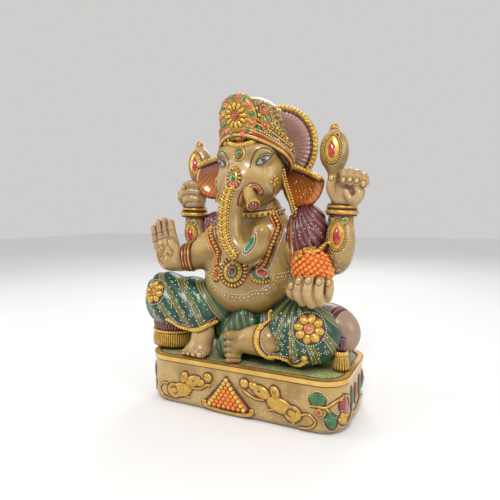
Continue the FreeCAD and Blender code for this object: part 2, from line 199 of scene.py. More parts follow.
def signed_volume(mesh):
    """Six times the volume that the mesh's faces enclose, by its sign inside out or not."""
    mesh.calc_loop_triangles()
    corners = np.zeros(len(mesh.loop_triangles) * 3, np.int32)
    mesh.loop_triangles.foreach_get("vertices", corners)
    p = coordinates(mesh)[corners].reshape(-1, 3, 3)
    return float(np.einsum("ij,ij->i", p[:, 0], np.cross(p[:, 1], p[:, 2])).sum())


def coordinates(mesh):
    """A mesh's vertices in its own units."""
    co = np.zeros(len(mesh.vertices) * 3, np.float32)
    mesh.vertices.foreach_get("co", co)
    return co.reshape(-1, 3)


def paint(obj, name, value):
    """Store one number per vertex for the material to read."""
    layer = obj.data.attributes.new(name, "FLOAT", "POINT")
    layer.data.foreach_set("value", np.asarray(value, np.float32))


def places(obj):
    """An object's vertices in millimetres."""
    return coordinates(obj.data).astype(float) / MM


def settle(obj, slot, *nodes):
    """Finish a piece: it rides on the idol and stands for its nodes; slot is not used."""
    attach(obj, "root")
    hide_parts(*nodes)
    return obj


# ---- laying ornaments on finished surfaces ---------------------------------------------------

class Skin:
    """Finished surfaces that ornaments are laid on."""

    def __init__(self, *objs):
        bpy.context.view_layer.update()
        depsgraph = bpy.context.evaluated_depsgraph_get()
        self.trees = [BVHTree.FromObject(obj, depsgraph) for obj in objs]

    def drop(self, start, toward, reach=60.0):
        """The first point that a ray meets, with its normal, or None."""
        hits = [tree.ray_cast(Vector(start) * MM, Vector(toward), reach * MM) for tree in self.trees]
        hits = [(h[3], np.array(h[0]) / MM, np.array(h[1])) for h in hits if h[0] is not None]
        return min(hits, key=lambda h: h[0])[1:] if hits else None

    def nearest(self, point):
        """The nearest surface point and its normal."""
        hits = [tree.find_nearest(Vector(point) * MM) for tree in self.trees]
        best = min(hits, key=lambda h: h[3])
        return np.array(best[0]) / MM, np.array(best[1])


class Chart:
    """A flat sheet held before a surface: a across, b up, dropped onto it against the outward side."""

    def __init__(self, skin, origin, outward=FRONT, up=UP, turn=0.0):
        self.skin = skin
        self.out = unit(outward)
        across = unit(np.cross(up, self.out))
        high = np.cross(self.out, across)
        c, s = math.cos(math.radians(turn)), math.sin(math.radians(turn))
        self.across, self.high = c * across + s * high, c * high - s * across
        self.origin = np.array(origin, float)

    def at(self, a, b):
        """The surface point and normal under (a, b)."""
        flat = self.origin + a * self.across + b * self.high
        hit = self.skin.drop(flat + 16 * self.out, -self.out, 32)
        if hit is None:
            point, normal = self.skin.nearest(flat)
            return point, normal
        return hit

    def lay(self, outline):
        """Surface points and normals under many (a, b)."""
        found = [self.at(a, b) for a, b in outline]
        return np.array([f[0] for f in found]), np.array([f[1] for f in found])


def smoothed(normals, closed=False, passes=3):
    """Normals averaged with their neighbours along a path."""
    normals = np.asarray(normals, float)
    for _ in range(passes):
        before, after = np.roll(normals, 1, 0), np.roll(normals, -1, 0)
        if not closed:
            before[0], after[-1] = normals[0], normals[-1]
        normals = before + 2 * normals + after
        normals /= np.maximum(np.linalg.norm(normals, axis=1, keepdims=True), 1e-9)
    return normals


class Trim:
    """Small pieces gathered into one mesh, each face with its own material."""

    def __init__(self, materials):
        self.materials = materials
        self.points = []
        self.faces = {3: [], 4: []}
        self.numbers = {3: [], 4: []}
        self.count = 0

    def add(self, points, quads, triangles, material):
        """Append a patch of points and faces in one material."""
        number = list(self.materials).index(material)
        self.points.append(np.asarray(points, float))
        for size, faces in ((4, quads), (3, triangles)):
            if len(faces):
                self.faces[size].append(np.asarray(faces) + self.count)
                self.numbers[size].append(np.full(len(faces), number))
        self.count += len(points)

    def stack(self, rings, material, apex=None, closed_loop=False):
        """Quads between rings of equal length, closed with an apex or from the last ring to the first."""
        count = len(rings[0])
        points = np.vstack(rings)
        here = np.arange(count)
        after = np.roll(here, -1)
        quads = []
        last = len(rings) if closed_loop else len(rings) - 1
        for k in range(last):
            low, high = k * count, ((k + 1) % len(rings)) * count
            quads.append(np.stack([low + here, low + after, high + after, high + here], 1))
        triangles = np.zeros((0, 3), int)
        if apex is not None:
            points = np.vstack([points, [apex]])
            top = (len(rings) - 1) * count
            triangles = np.stack([top + here, top + after, np.full(count, len(points) - 1)], 1)
        self.add(points, np.vstack(quads), triangles, material)

    def bead(self, point, normal, radius, material, height=None, sides=8, stretch=1.0, along=None):
        """A dome standing on a surface."""
        normal = unit(normal)
        side = unit(np.cross(normal, along if along is not None else (0.31, 0.52, 0.79)))
        if along is not None:
            side = unit(along - np.dot(along, normal) * normal)
        other = np.cross(normal, side)
        height = radius if height is None else height
        angles = np.linspace(0, 2 * math.pi, sides, endpoint=False)
        round_ = (np.cos(angles)[:, None] * side * stretch + np.sin(angles)[:, None] * other) * radius
        rings = [point + round_ * share + normal * lift * height for share, lift in
                 ((0.8, -0.5), (1.0, 0.0), (0.87, 0.5), (0.5, 0.87))]
        self.stack(rings, material, point + normal * height)

    def beads(self, points, normals, radius, material, **options):
        """One bead at each point."""
        for point, normal in zip(points, normals):
            self.bead(point, normal, radius, material, **options)

    def cushion(self, chart, outline, height, material, sink=0.8, lift=0.0, edge=0.35):
        """A rounded pad whose plan is a closed outline of (a, b)."""
        outline = np.asarray(outline, float)
        centre = outline.mean(0)
        x, y = outline.T
        if (x * np.roll(y, -1) - np.roll(x, -1) * y).sum() < 0:
            outline = outline[::-1]
        rings = []
        base, normals = chart.lay(outline)
        rings.append(base - normals * sink + normals * lift)
        rings.append(base + normals * (lift + edge * height))
        for share in (0.86, 0.62, 0.32):
            points, normals = chart.lay(centre + (outline - centre) * share)
            rings.append(points + normals * (lift + height * math.sqrt(1 - (share * 0.95) ** 2)))
        top, normal = chart.at(*centre)
        self.stack(rings, material, top + normal * (lift + height))

    def ribbon(self, points, normals, half_width, height, material, closed=False, shift=0.0):
        """A raised half-round band along a path on a surface."""
        points, normals = np.asarray(points, float), smoothed(normals, closed)
        if closed:
            ahead = np.roll(points, -1, 0) - np.roll(points, 1, 0)
        else:
            ahead = np.gradient(points, axis=0)
        side = np.cross(normals, ahead)
        side /= np.maximum(np.linalg.norm(side, axis=1, keepdims=True), 1e-9)
        widths = np.broadcast_to(np.asarray(half_width, float), len(points))[:, None]
        middle = points + side * shift
        arch = [(math.cos(t), math.sin(t)) for t in np.linspace(0, math.pi, 7)]
        profile = [(1, -0.9)] + arch + [(-1, -0.9)]
        rings = [middle + side * widths * a + normals * height * b for a, b in profile]
        rings = list(np.stack(rings, 1))
        if not closed:
            ends = [middle[k] - normals[k] * height * 0.4 + (rings[k] - middle[k]) * 0.15 for k in (0, -1)]
            rings = ends[:1] + rings + ends[1:]
        self.stack(rings, material, closed_loop=closed)

    def outlined(self, points, normals, half_width, height, material, line, closed=False, line_width=0.45):
        """A band with a thin dark line along both edges."""
        self.ribbon(points, normals, half_width, height, material, closed)
        for sign in (-1, 1):
            self.ribbon(points, normals, line_width, 0.5 * height, line, closed,
                        sign * (np.max(half_width) + 0.2))

    def build(self, name):
        """Turn all that was added into one mesh object."""
        faces, numbers = [], []
        for size in (4, 3):
            if self.faces[size]:
                faces.append(np.vstack(self.faces[size]))
                numbers.append(np.concatenate(self.numbers[size]))
        points = np.vstack(self.points)
        # every small piece is wound outward on its own
        return raw_mesh(name, points, faces, list(self.materials.values()), np.concatenate(numbers))


def oval(half_a, half_b, centre=(0, 0), count=20, turn=0.0, point=0.0):
    """A closed oval outline; point draws its upper end out to a tip."""
    t = np.linspace(0, 2 * math.pi, count, endpoint=False) + math.pi / 2
    squeeze = 1 - point * np.clip(np.sin(t), 0, 1) ** 2
    p = np.stack([half_a * np.cos(t) * squeeze, half_b * np.sin(t)], 1)
    c, s = math.cos(math.radians(turn)), math.sin(math.radians(turn))
    return p @ np.array([[c, s], [-s, c]]) + np.array(centre)


def petals(count, radius, reach, width, phase=0.0):
    """Outlines of petals set round a circle."""
    for k in range(count):
        angle = phase + 360 * k / count
        a = math.radians(angle)
        yield oval(width, reach, (radius * math.sin(a), radius * math.cos(a)), 14, -angle)


# ---- materials -------------------------------------------------------------------------------

class Paint:
    """A node material: mottled colour, painted shade in the hollows, lacquer on top."""

    def __init__(self, name, roughness=0.4, metallic=0.0, coat=0.3, subsurface=0.0):
        self.material = bpy.data.materials.new(name)
        self.material.use_nodes = True
        self.tree = self.material.node_tree
        self.shader = self.tree.nodes["Principled BSDF"]
        self.shader.inputs["Roughness"].default_value = roughness
        self.shader.inputs["Metallic"].default_value = metallic
        self.shader.inputs["Coat Weight"].default_value = coat
        self.shader.inputs["Coat Roughness"].default_value = 0.12
        if subsurface:
            self.shader.inputs["Subsurface Weight"].default_value = subsurface
            self.shader.inputs["Subsurface Radius"].default_value = (0.004, 0.003, 0.0015)
            self.shader.inputs["Subsurface Scale"].default_value = 1.0
        self.where = self.node("ShaderNodeTexCoord").outputs["Object"]

    def node(self, kind, **values):
        """A new shader node with the given settings."""
        made = self.tree.nodes.new(kind)
        for key, value in values.items():
            setattr(made, key, value)
        return made

    def link(self, source, target):
        """Join an output to an input."""
        self.tree.links.new(source, target)

    def noise(self, per_metre, detail=4.0):
        """A noise texture, by its scale per metre."""
        made = self.node("ShaderNodeTexNoise")
        made.inputs["Scale"].default_value = per_metre
        made.inputs["Detail"].default_value = detail
        self.link(self.where, made.inputs["Vector"])
        return made.outputs["Fac"]

    def attribute(self, name):
        """A number stored on the vertices."""
        return self.node("ShaderNodeAttribute", attribute_name=name).outputs["Fac"]

    def math(self, operation, a, b=0.0, clamp=False):
        """A math node on two values or sockets."""
        made = self.node("ShaderNodeMath", operation=operation, use_clamp=clamp)
        for socket, value in zip(made.inputs, (a, b)):
            if isinstance(value, (int, float)):
                socket.default_value = value
            else:
                self.link(value, socket)
        return made.outputs[0]

    def ramp(self, fac, stops, interpolation="LINEAR"):
        """Colours by position."""
        made = self.node("ShaderNodeValToRGB")
        made.color_ramp.interpolation = interpolation
        ends = made.color_ramp.elements
        while len(ends) > 1:
            ends.remove(ends[-1])
        ends[0].position, ends[0].color = stops[0][0], (*stops[0][1], 1)
        for position, colour in stops[1:]:
            ends.new(position).color = (*colour, 1)
        self.link(fac, made.inputs["Fac"])
        return made.outputs["Color"]

    def mix(self, fac, a, b, kind="MIX"):
        """Two colours mixed by a value or socket."""
        made = self.node("ShaderNodeMix", data_type="RGBA", blend_type=kind)
        for socket, value in ((made.inputs["Factor"], fac), (made.inputs["A"], a), (made.inputs["B"], b)):
            if isinstance(value, (int, float)):
                socket.default_value = value
            elif isinstance(value, tuple):
                socket.default_value = (*value, 1)
            else:
                self.link(value, socket)
        return made.outputs["Result"]

    def hollow(self, distance=4.0, power=1.6):
        """One in tight hollows, nought in the open: the mask for painted shade, read from ambient occlusion.
        """
        made = self.node("ShaderNodeAmbientOcclusion", samples=8)
        made.inputs["Distance"].default_value = distance * MM
        open_ = self.math("POWER", made.outputs["AO"], power)
        return self.math("SUBTRACT", 1.0, open_, clamp=True)

    def underside(self):
        """One where the surface faces down, nought where it faces up."""
        split = self.node("ShaderNodeSeparateXYZ")
        self.link(self.node("ShaderNodeNewGeometry").outputs["Normal"], split.inputs[0])
        return self.math("MULTIPLY_ADD", split.outputs["Z"], -0.6, clamp=True)

    def bump(self, height, strength, distance=0.3):
        """Roughen the shader's normal by a height, with the distance in millimetres."""
        made = self.node("ShaderNodeBump")
        made.inputs["Strength"].default_value = strength
        made.inputs["Distance"].default_value = distance * MM
        self.link(height, made.inputs["Height"])
        self.link(made.outputs["Normal"], self.shader.inputs["Normal"])

    def finish(self, colour, vary=None):
        """Set the colour, and let the roughness vary between two values."""
        self.link(colour, self.shader.inputs["Base Color"])
        if vary:
            made = self.node("ShaderNodeMapRange")
            made.inputs["To Min"].default_value, made.inputs["To Max"].default_value = vary
            self.link(self.noise(260), made.inputs["Value"])
            self.link(made.outputs["Result"], self.shader.inputs["Roughness"])
        return self.material


CREAM = (0.47, 0.286, 0.075)
PALE = (0.56, 0.378, 0.128)
OLIVE = (0.14, 0.078, 0.008)
MAROON = (0.085, 0.012, 0.012)
GOLD = (0.66, 0.41, 0.075)
GOLD_DEEP = (0.50, 0.28, 0.04)


def stone_material(name, painted_shade):
    """Polished cream stone, mottled and veined; the strength given sets how brown its underside and hollows
    are painted: painted shade in the hollows, and on the underside partly the stone's own olive tone, partly
    painted shade.
    """
    p = Paint(name, 0.34, coat=0.45, subsurface=0.25)
    body = p.ramp(p.noise(28, 6), [(0.35, CREAM), (0.49, PALE), (0.61, (0.36, 0.22, 0.055))])
    veins = p.ramp(p.noise(70, 9), [(0.47, (1, 1, 1)), (0.5, (0.86, 0.80, 0.68)), (0.53, (1, 1, 1))])
    body = p.mix(0.55, body, veins, "MULTIPLY")
    # Olive on downward faces: partly the stone's own tone, partly painted shade under things.
    body = p.mix(p.math("MULTIPLY", p.underside(), 0.8 * painted_shade), body, OLIVE)
    # Painted shade: brown darkening in the hollows.
    body = p.mix(p.math("MULTIPLY", p.hollow(7.0, 1.5), 0.95 * painted_shade), body, (0.13, 0.055, 0.012))
    p.bump(p.noise(420, 5), 0.10)
    return p.finish(body, (0.24, 0.42))


def rose_stone_material():
    """The warmer, tinted stone of fingers, toes and palm."""
    p = Paint("rose_stone", 0.36, coat=0.4, subsurface=0.2)
    body = p.ramp(p.noise(60, 5), [(0.38, (0.47, 0.32, 0.13)), (0.6, (0.39, 0.23, 0.10))])
    # Painted shade: dark in the hollows between fingers and toes.
    body = p.mix(p.math("MULTIPLY", p.hollow(4.0, 1.5), 0.9), body, (0.12, 0.04, 0.03))
    p.bump(p.noise(420, 5), 0.10)
    return p.finish(body, (0.26, 0.44))


def gold_material(name="gold_paint", shine=GOLD, deep=GOLD_DEEP, grain=300):
    """Built-up gold paint, mottled between a shiny and a deep tone."""
    p = Paint(name, 0.34, metallic=0.55, coat=0.35)
    body = p.ramp(p.noise(grain, 4), [(0.35, shine), (0.6, deep)])
    # Painted shade: maroon in the hollows of the relief.
    body = p.mix(p.hollow(1.6, 1.3), body, MAROON)
    p.bump(p.noise(900, 3), 0.25)
    return p.finish(body, (0.24, 0.44))


def embossed_gold_material():
    """Olive gold with a pressed pattern of small scales."""
    p = Paint("embossed_gold", 0.38, metallic=0.45, coat=0.35)
    cells = p.node("ShaderNodeTexVoronoi", feature="F1")
    cells.inputs["Scale"].default_value = 420
    p.link(p.where, cells.inputs["Vector"])
    # The scales darken toward their sunken edges: painted shade in the pressed grooves.
    body = p.ramp(cells.outputs["Distance"], [(0.1, (0.62, 0.48, 0.16)), (0.45, (0.38, 0.27, 0.07)),
                                              (0.7, (0.12, 0.05, 0.015))])
    # Painted shade: darker in the hollows.
    body = p.mix(p.hollow(2.5, 1.3), body, (0.10, 0.04, 0.015))
    p.bump(p.math("SUBTRACT", 1.0, cells.outputs["Distance"]), 0.7, 0.8)
    return p.finish(body, (0.26, 0.46))


def plain_material(name, light, dark, roughness=0.3, coat=0.6, metallic=0.0, grain=120, painted_shade=MAROON):
    """One lacquered colour, gently uneven, with painted shade in the hollows."""
    p = Paint(name, roughness, metallic, coat)
    body = p.ramp(p.noise(grain, 4), [(0.35, light), (0.65, dark)])
    # Painted shade: the hollows darken toward the given shade colour.
    body = p.mix(p.math("MULTIPLY", p.hollow(2.0, 1.2), 0.8), body, painted_shade)
    p.bump(p.noise(700, 3), 0.12)
    return p.finish(body, (roughness * 0.7, roughness * 1.3))


def gem_material(name, light, dark):
    """A small glossy cabochon, mottled between two tones."""
    p = Paint(name, 0.08, coat=1.0)
    body = p.ramp(p.noise(160, 3), [(0.35, light), (0.65, dark)])
    p.shader.inputs["IOR"].default_value = 1.6
    return p.finish(body, (0.04, 0.14))


def striped_material(name, light, dark, stripe, line, painted_shade):
    """Cloth painted in stripes along the vertex number 'stripe', with a thin line in each pale stripe."""
    p = Paint(name, 0.36, coat=0.3)
    band = p.math("FRACT", p.attribute("stripe"))
    shade = p.ramp(p.noise(45, 4), [(0.3, light), (0.6, dark)])
    pale = p.mix(p.noise(180, 3), stripe, tuple(c * 0.6 for c in stripe))
    mask = p.ramp(band,
                  [(0.0, (0, 0, 0)), (0.60, (0, 0, 0)), (0.63, (1, 1, 1)), (0.94, (1, 1, 1)),
                   (0.97, (0, 0, 0))])
    lines = p.ramp(band,
                   [(0.0, (0, 0, 0)), (0.58, (0, 0, 0)), (0.605, (1, 1, 1)), (0.63, (1, 1, 1)),
                    (0.65, (0, 0, 0)),
                          (0.76, (0, 0, 0)), (0.785, (1, 1, 1)), (0.81, (0, 0, 0)), (0.92, (0, 0, 0)),
                          (0.95, (1, 1, 1)),
                          (0.98, (0, 0, 0))])
    body = p.mix(mask, shade, pale)
    body = p.mix(lines, body, line)
    # Painted shade: darker in the hollows and creases of the cloth.
    body = p.mix(p.math("MULTIPLY", p.hollow(5.0, 1.4), 0.9), body, painted_shade)
    p.bump(mask, 0.35, 0.5)
    return p.finish(body, (0.30, 0.48))


def grass_material():
    """The ground on the plinth, with patches of green dabs."""
    p = Paint("grass_stone", 0.5, coat=0.2)
    patches = p.ramp(p.noise(45, 3), [(0.42, (0, 0, 0)), (0.56, (1, 1, 1))])
    dabs = p.ramp(p.noise(900, 2),
                  [(0.44, (0.16, 0.30, 0.03)), (0.52, (0.38, 0.50, 0.12)), (0.58, (0.70, 0.72, 0.50))])
    ground = p.ramp(p.noise(60, 5), [(0.4, (0.50, 0.42, 0.24)), (0.6, (0.38, 0.34, 0.16))])
    body = p.mix(patches, ground, dabs)
    # Painted shade: darker in the hollows round the figure's base.
    body = p.mix(p.math("MULTIPLY", p.hollow(10.0, 1.3), 0.85), body, (0.08, 0.06, 0.015))
    p.bump(p.noise(900, 2), 0.5, 0.4)
    return p.finish(body, (0.4, 0.6))


def radial_material():
    """Copper lacquer with fine dark lines fanning along the vertex number 'fan'."""
    p = Paint("ear_paint", 0.2, metallic=0.25, coat=0.9)
    band = p.math("FRACT", p.attribute("fan"))
    shade = p.ramp(p.attribute("depth"),
                   [(0.0, (0.09, 0.016, 0.006)), (0.22, (0.27, 0.075, 0.015)), (0.6, (0.45, 0.14, 0.018)),
                                          (0.85, (0.52, 0.13, 0.01)), (1.0, (0.20, 0.035, 0.006))])
    lines = p.ramp(band,
                   [(0.0, (0.18, 0.10, 0.08)), (0.26, (1, 1, 1)), (0.62, (1, 1, 1)), (0.74, (1.6, 1.5, 1.2)),
                    (0.86, (1, 1, 1))])
    body = p.mix(0.8, shade, lines, "MULTIPLY")
    # Painted shade: maroon in the hollows of the ear.
    body = p.mix(p.math("MULTIPLY", p.hollow(5.0, 1.4), 0.8), body, MAROON)
    p.bump(band, 0.25, 0.4)
    return p.finish(body, (0.14, 0.3))


# The number sets how strong the stone's painted shade is.
STONE = stone_material("carved_stone", 1.0)
PLINTH_STONE = stone_material("plinth_stone", 0.5)
ROSE = rose_stone_material()
GOLD_PAINT = gold_material()
RIM_GOLD = gold_material("rim_gold", (0.74, 0.49, 0.12), (0.64, 0.38, 0.07), 90)
EMBOSSED = embossed_gold_material()
GRASS = grass_material()
EAR = radial_material()
# The last colour of each striped paint is its painted shade in the hollows.
GREEN_CLOTH = striped_material("green_cloth", (0.006, 0.095, 0.047), (0.001, 0.032, 0.017),
                               (0.085, 0.125, 0.036),
                               (0.46, 0.29, 0.06), (0.008, 0.015, 0.008))
MAUVE_CLOTH = striped_material("mauve_cloth", (0.15, 0.011, 0.026), (0.08, 0.005, 0.014),
                               (0.20, 0.055, 0.065),
                               (0.50, 0.30, 0.22), (0.03, 0.004, 0.008))
HALO_PAINT = striped_material("halo_paint", (0.46, 0.27, 0.21), (0.36, 0.17, 0.155), (0.52, 0.36, 0.27),
                              (0.10, 0.012, 0.03), (0.07, 0.012, 0.016))
BOLSTER_PAINT = striped_material("bolster_paint", (0.30, 0.185, 0.12), (0.21, 0.12, 0.085),
                                 (0.11, 0.014, 0.035),
                                 (0.48, 0.34, 0.2), (0.05, 0.015, 0.01))
# A plain paint's keyword colour after its coat is its painted shade in the hollows; without one it is maroon.
TRIM = {
    "gold": GOLD_PAINT,
    "line": plain_material("maroon_line", (0.13, 0.016, 0.014), (0.07, 0.01, 0.01), 0.4, 0.3),
    "white": plain_material("white_dots", (0.92, 0.90, 0.80), (0.82, 0.78, 0.62), 0.35, 0.3,
                            painted_shade=(0.4, 0.3, 0.15)),
    "red": gem_material("red_gem", (0.55, 0.008, 0.012), (0.30, 0.004, 0.008)),
    "dark_red": gem_material("dark_red_gem", (0.26, 0.006, 0.008), (0.13, 0.003, 0.004)),
    "rose": gem_material("rose_gem", (0.70, 0.12, 0.12), (0.50, 0.05, 0.06)),
    "green": gem_material("green_gem", (0.01, 0.22, 0.07), (0.004, 0.08, 0.03)),
    "leaf": plain_material("green_enamel", (0.02, 0.20, 0.035), (0.008, 0.09, 0.02), 0.2, 0.9),
    "orange": plain_material("orange_paint", (0.85, 0.25, 0.006), (0.70, 0.15, 0.003), 0.25, 0.8,
                             painted_shade=(0.30, 0.04, 0.0)),
    "yellow": plain_material("yellow_paint", (0.72, 0.50, 0.06), (0.60, 0.34, 0.03), 0.28, 0.7,
                             painted_shade=(0.30, 0.10, 0.01)),
    "copper": gold_material("copper_paint", (0.66, 0.28, 0.08), (0.36, 0.12, 0.03)),
    "black": plain_material("black_line", (0.012, 0.010, 0.012), (0.03, 0.02, 0.02), 0.3, 0.5,
                            painted_shade=(0.0, 0.0, 0.0)),
    "eye": plain_material("eye_white", (0.34, 0.30, 0.24), (0.26, 0.22, 0.17), 0.15, 1.0,
                          painted_shade=(0.02, 0.02, 0.02)),
    "iris": plain_material("iris_grey", (0.06, 0.058, 0.06), (0.03, 0.028, 0.03), 0.1, 1.0,
                           painted_shade=(0.0, 0.0, 0.0)),
    "nail": plain_material("nail_paint", (0.55, 0.35, 0.13), (0.45, 0.27, 0.09), 0.3, 0.6, metallic=0.25),
    "violet": plain_material("violet_paint", (0.17, 0.03, 0.07), (0.10, 0.012, 0.04), 0.28, 0.7),
}


def stack_of(*names):
    """The named trim materials."""
    return {name: TRIM[name] for name in names}


# ---- shaping help ----------------------------------------------------------------------------

def dress(node, material):
    """Give a carried-over CAD node a detailed material."""
    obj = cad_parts[node]
    if not obj.material_slots:
        obj.data.materials.append(material)
    for held in obj.material_slots:
        held.material = material


def carve_lines(obj, along, depth):
    """Push the surface in along the seams of a wavy number."""
    mesh = obj.data
    normals = np.zeros(len(mesh.vertices) * 3, np.float32)
    mesh.vertex_normals.foreach_get("vector", normals)
    wave = 0.5 + 0.5 * np.cos(2 * math.pi * (along - 0.25))
    moved = coordinates(mesh) + normals.reshape(-1, 3) * (depth * MM * (wave[:, None] - 0.5))
    mesh.vertices.foreach_set("co", moved.astype(np.float32).ravel())
    mesh.update()


def stripes(obj, along, depth=0.9):
    """Write the vertex number 'stripe' and carve its lines."""
    paint(obj, "stripe", along)
    carve_lines(obj, along, depth)


# ---- plinth ----------------------------------------------------------------------------------

dress("plinth_block", PLINTH_STONE)
dress("plinth_rim", RIM_GOLD)
dress("plinth_top", GRASS)

# ---- body and arms ---------------------------------------------------------------------------

clay = Clay((-98, -50, 62), (108, 42, 222), 1.0)
clay.ball((0, 5, 158), (45, 27, 34))
clay.ball((-6, -2, 121), (47, 37, 38), soft=7)
clay.ball((3, -4, 190), (24, 20, 16), soft=8)
clay.limb([(-38, 6, 170, 15), (-50, 3, 157, 14), (-59, -2, 151, 13), (-65, -4, 163, 12.5),
           (-67, -4, 178, 10.5),
           (-68, -4, 198, 9.5)], 6)
clay.limb([(44, 6, 164, 16), (64, 2, 148, 15), (79, -3, 143, 13.5), (84, -4, 158, 13.5), (85, -4, 176, 11),
           (86, -4, 198, 10)], 6)
clay.limb([(-38, -8, 160, 15), (-52, -19, 145, 14), (-66, -26, 141, 12), (-78, -29, 139, 11)], 7)
clay.limb([(46, -2, 150, 15), (60, -14, 132, 13.5), (67, -27, 119, 11)], 7)
body = settle(clay.mesh("body_stone", STONE), "carved_stone", "torso", "rear_right_upper_arm",
              "rear_left_upper_arm", "rear_right_forearm", "rear_left_forearm", "front_right_arm",
              "front_left_arm")

# ---- hands -----------------------------------------------------------------------------------

wrist = np.array((-79.0, -31.0, 130.0))
lean = turned(y=-13)


def palm_point(across, out, up, *radius):
    """A place in the blessing hand, from its wrist."""
    return (*(wrist + lean @ np.array((across, out, up))), *radius)


clay = Clay((-106, -48, 122), (-56, -18, 184), 0.55)
clay.ball(palm_point(0, 0, 14), (14, 7.5, 15), lean)
clay.ball(palm_point(0, 0.5, 24), (14.4, 6, 11), lean, soft=3)
clay.ball((-70, -27, 139), (12, 10, 11), soft=6)
for across, tip in ((-11, 45), (-3.7, 49), (3.7, 49.5), (10.8, 46)):
    clay.limb([palm_point(across, 0, 24, 3.9), palm_point(across, -0.6, 34, 3.7),
               palm_point(across, 0.4, tip, 3.2)],
              0.8)
clay.limb([palm_point(11, -3, 8, 5.5), palm_point(15, -5, 17, 4.2), palm_point(13, -8, 25, 3.6)], 2)
blessing = settle(clay.mesh("blessing_hand_stone", ROSE), "carved_stone", "blessing_hand")

clay = Clay((44, -52, 102), (92, -14, 138), 0.55)
clay.ball((67, -27, 118), (16, 11, 11))
for stations in ([(55, -30, 113, 5), (50.5, -37, 117, 4.6), (52.5, -41, 124, 4)],
                 [(60, -34, 110, 4.8), (58.5, -42, 118, 4.6), (59.5, -41, 129, 4)],
                 [(68, -35, 109, 4.8), (67, -43, 118, 4.6), (68, -41, 130, 4)],
                 [(75, -34, 111, 4.6), (75.5, -41, 119, 4.4), (76.5, -39, 129, 3.9)],
                 [(80, -30, 114, 4.4), (83, -35, 121, 4.1), (83, -34, 128, 3.6)]):
    clay.limb(stations, 1.0)
giving = settle(clay.mesh("sweets_hand_stone", ROSE), "carved_stone", "sweets_hand")

clay = Clay((-88, -22, 186), (-50, 8, 226), 0.55)
clay.ball((-67, -4, 204), (12.5, 8.5, 14))
clay.limb([(-68, -4, 188, 10), (-67, -4, 198, 10)], 4)
for stations in ([(-60, -9, 214, 4), (-68, -13, 215, 4.2), (-75, -9, 212, 3.8)],
                 [(-60, -10, 207, 4), (-70, -14, 208, 4.4), (-79, -9, 205, 4)],
                 [(-61, -10, 200, 4), (-70, -13, 201, 4.3), (-78, -8, 198, 3.9)]):
    clay.limb(stations, 0.9)
clay.limb([(-76, -6, 194, 4.6), (-77, -13, 203, 4.2), (-70, -17, 212, 3.8)], 1.0)
raised_right = settle(clay.mesh("rear_right_hand_stone", ROSE), "carved_stone", "rear_right_hand")

clay = Clay((72, -24, 186), (114, 8, 228), 0.55)
clay.ball((91, -7, 203), (15, 8.5, 14))
clay.limb([(85, -4, 188, 10), (88, -5, 198, 10)], 4)
for k, reach in enumerate((0.0, 1.0, 0.5, -1.5)):
    x = 89 + 5.6 * k
    clay.limb([(x - 1, -3, 214 - k, 4), (x, -11, 219.5 - k + reach, 3.9), (x + 1, -17, 212 - k, 3.5)], 0.8)
clay.limb([(82, -9, 197, 5), (78.5, -14, 206, 4.4), (79.5, -15, 215, 3.9)], 1.2)
clay.limb([(100, -14, 208, 3.4), (103, -17, 201, 3.4), (97, -18, 196, 3.2), (92, -17, 203, 3)], 1.0)
raised_left = settle(clay.mesh("rear_left_hand_stone", ROSE), "carved_stone", "rear_left_hand")

# ---- emblems ---------------------------------------------------------------------------------

def emblem(name, x, y, z, slip, node):
    """The bud that a raised hand holds, with a stem that slips sideways as it goes down."""
    clay = Clay((x - 18, y - 13, z - 34), (x + 18, y + 13, z + 27), 0.6)
    clay.ball((x, y, z), (13, 9, 17))
    clay.limb([(x, y, z - 8, 9.5), (x + slip * 0.4, y - 1, z - 18, 7), (x + slip, y - 2, z - 31, 6.5)], 6)
    clay.limb([(x, y, z + 12, 6.5), (x, y, z + 16, 4.2)], 3)
    return settle(clay.mesh(name, STONE), "carved_stone", node)


right_bud = emblem("right_emblem_stone", -63, 0, 236, -2, "right_emblem")
left_bud = emblem("left_emblem_stone", 77, 0, 241, 3, "left_emblem")

# ---- head, trunk and tusk --------------------------------------------------------------------

clay = Clay((-36, -64, 138), (44, 24, 262), 0.7)
clay.ball((3, -12, 224), (32, 29, 31))
clay.ball((2, -30, 212), (17, 15, 17), soft=12)
clay.ball((4, -21, 238), (27, 18, 17), soft=9)
for side in (-1, 1):
    clay.ball((3 + side * 18, -24, 212), (12, 13, 15), soft=9)
    clay.ball((3 + side * 18, -32, 240), (9, 5, 5), turned(z=side * 30), soft=9)
clay.ball((6, -26, 199), (14, 12, 9), soft=6)
clay.limb([(1, -34, 214, 14), (-3, -42, 196, 11), (-3, -46, 176, 10), (1, -48, 160, 9.6), (12, -49, 151, 9.4),
           (23, -48, 156, 9), (28, -48, 167, 7.5)], 7)
clay.ball((28, -49, 170), (7.5, 6.5, 6), soft=3)
clay.limb([(3, -8, 206, 17), (3, -4, 190, 16)], 6)
for side in (-1, 1):
    clay.ball((4 + side * 19.5, -33.5, 231), (6.5, 4.2, 4.6), turned(x=0, z=side * 32), soft=3)
head = settle(clay.mesh("head_stone", STONE), "carved_stone", "head", "trunk")

clay = Clay((4, -62, 184), (32, -30, 214), 0.5)
clay.limb([(10, -40, 207, 5.2), (16, -47, 200, 5), (22, -53, 193, 4.8)], 1)
settle(clay.mesh("tusk_stone", STONE), "carved_stone", "tusk")

# ---- ears ------------------------------------------------------------------------------------

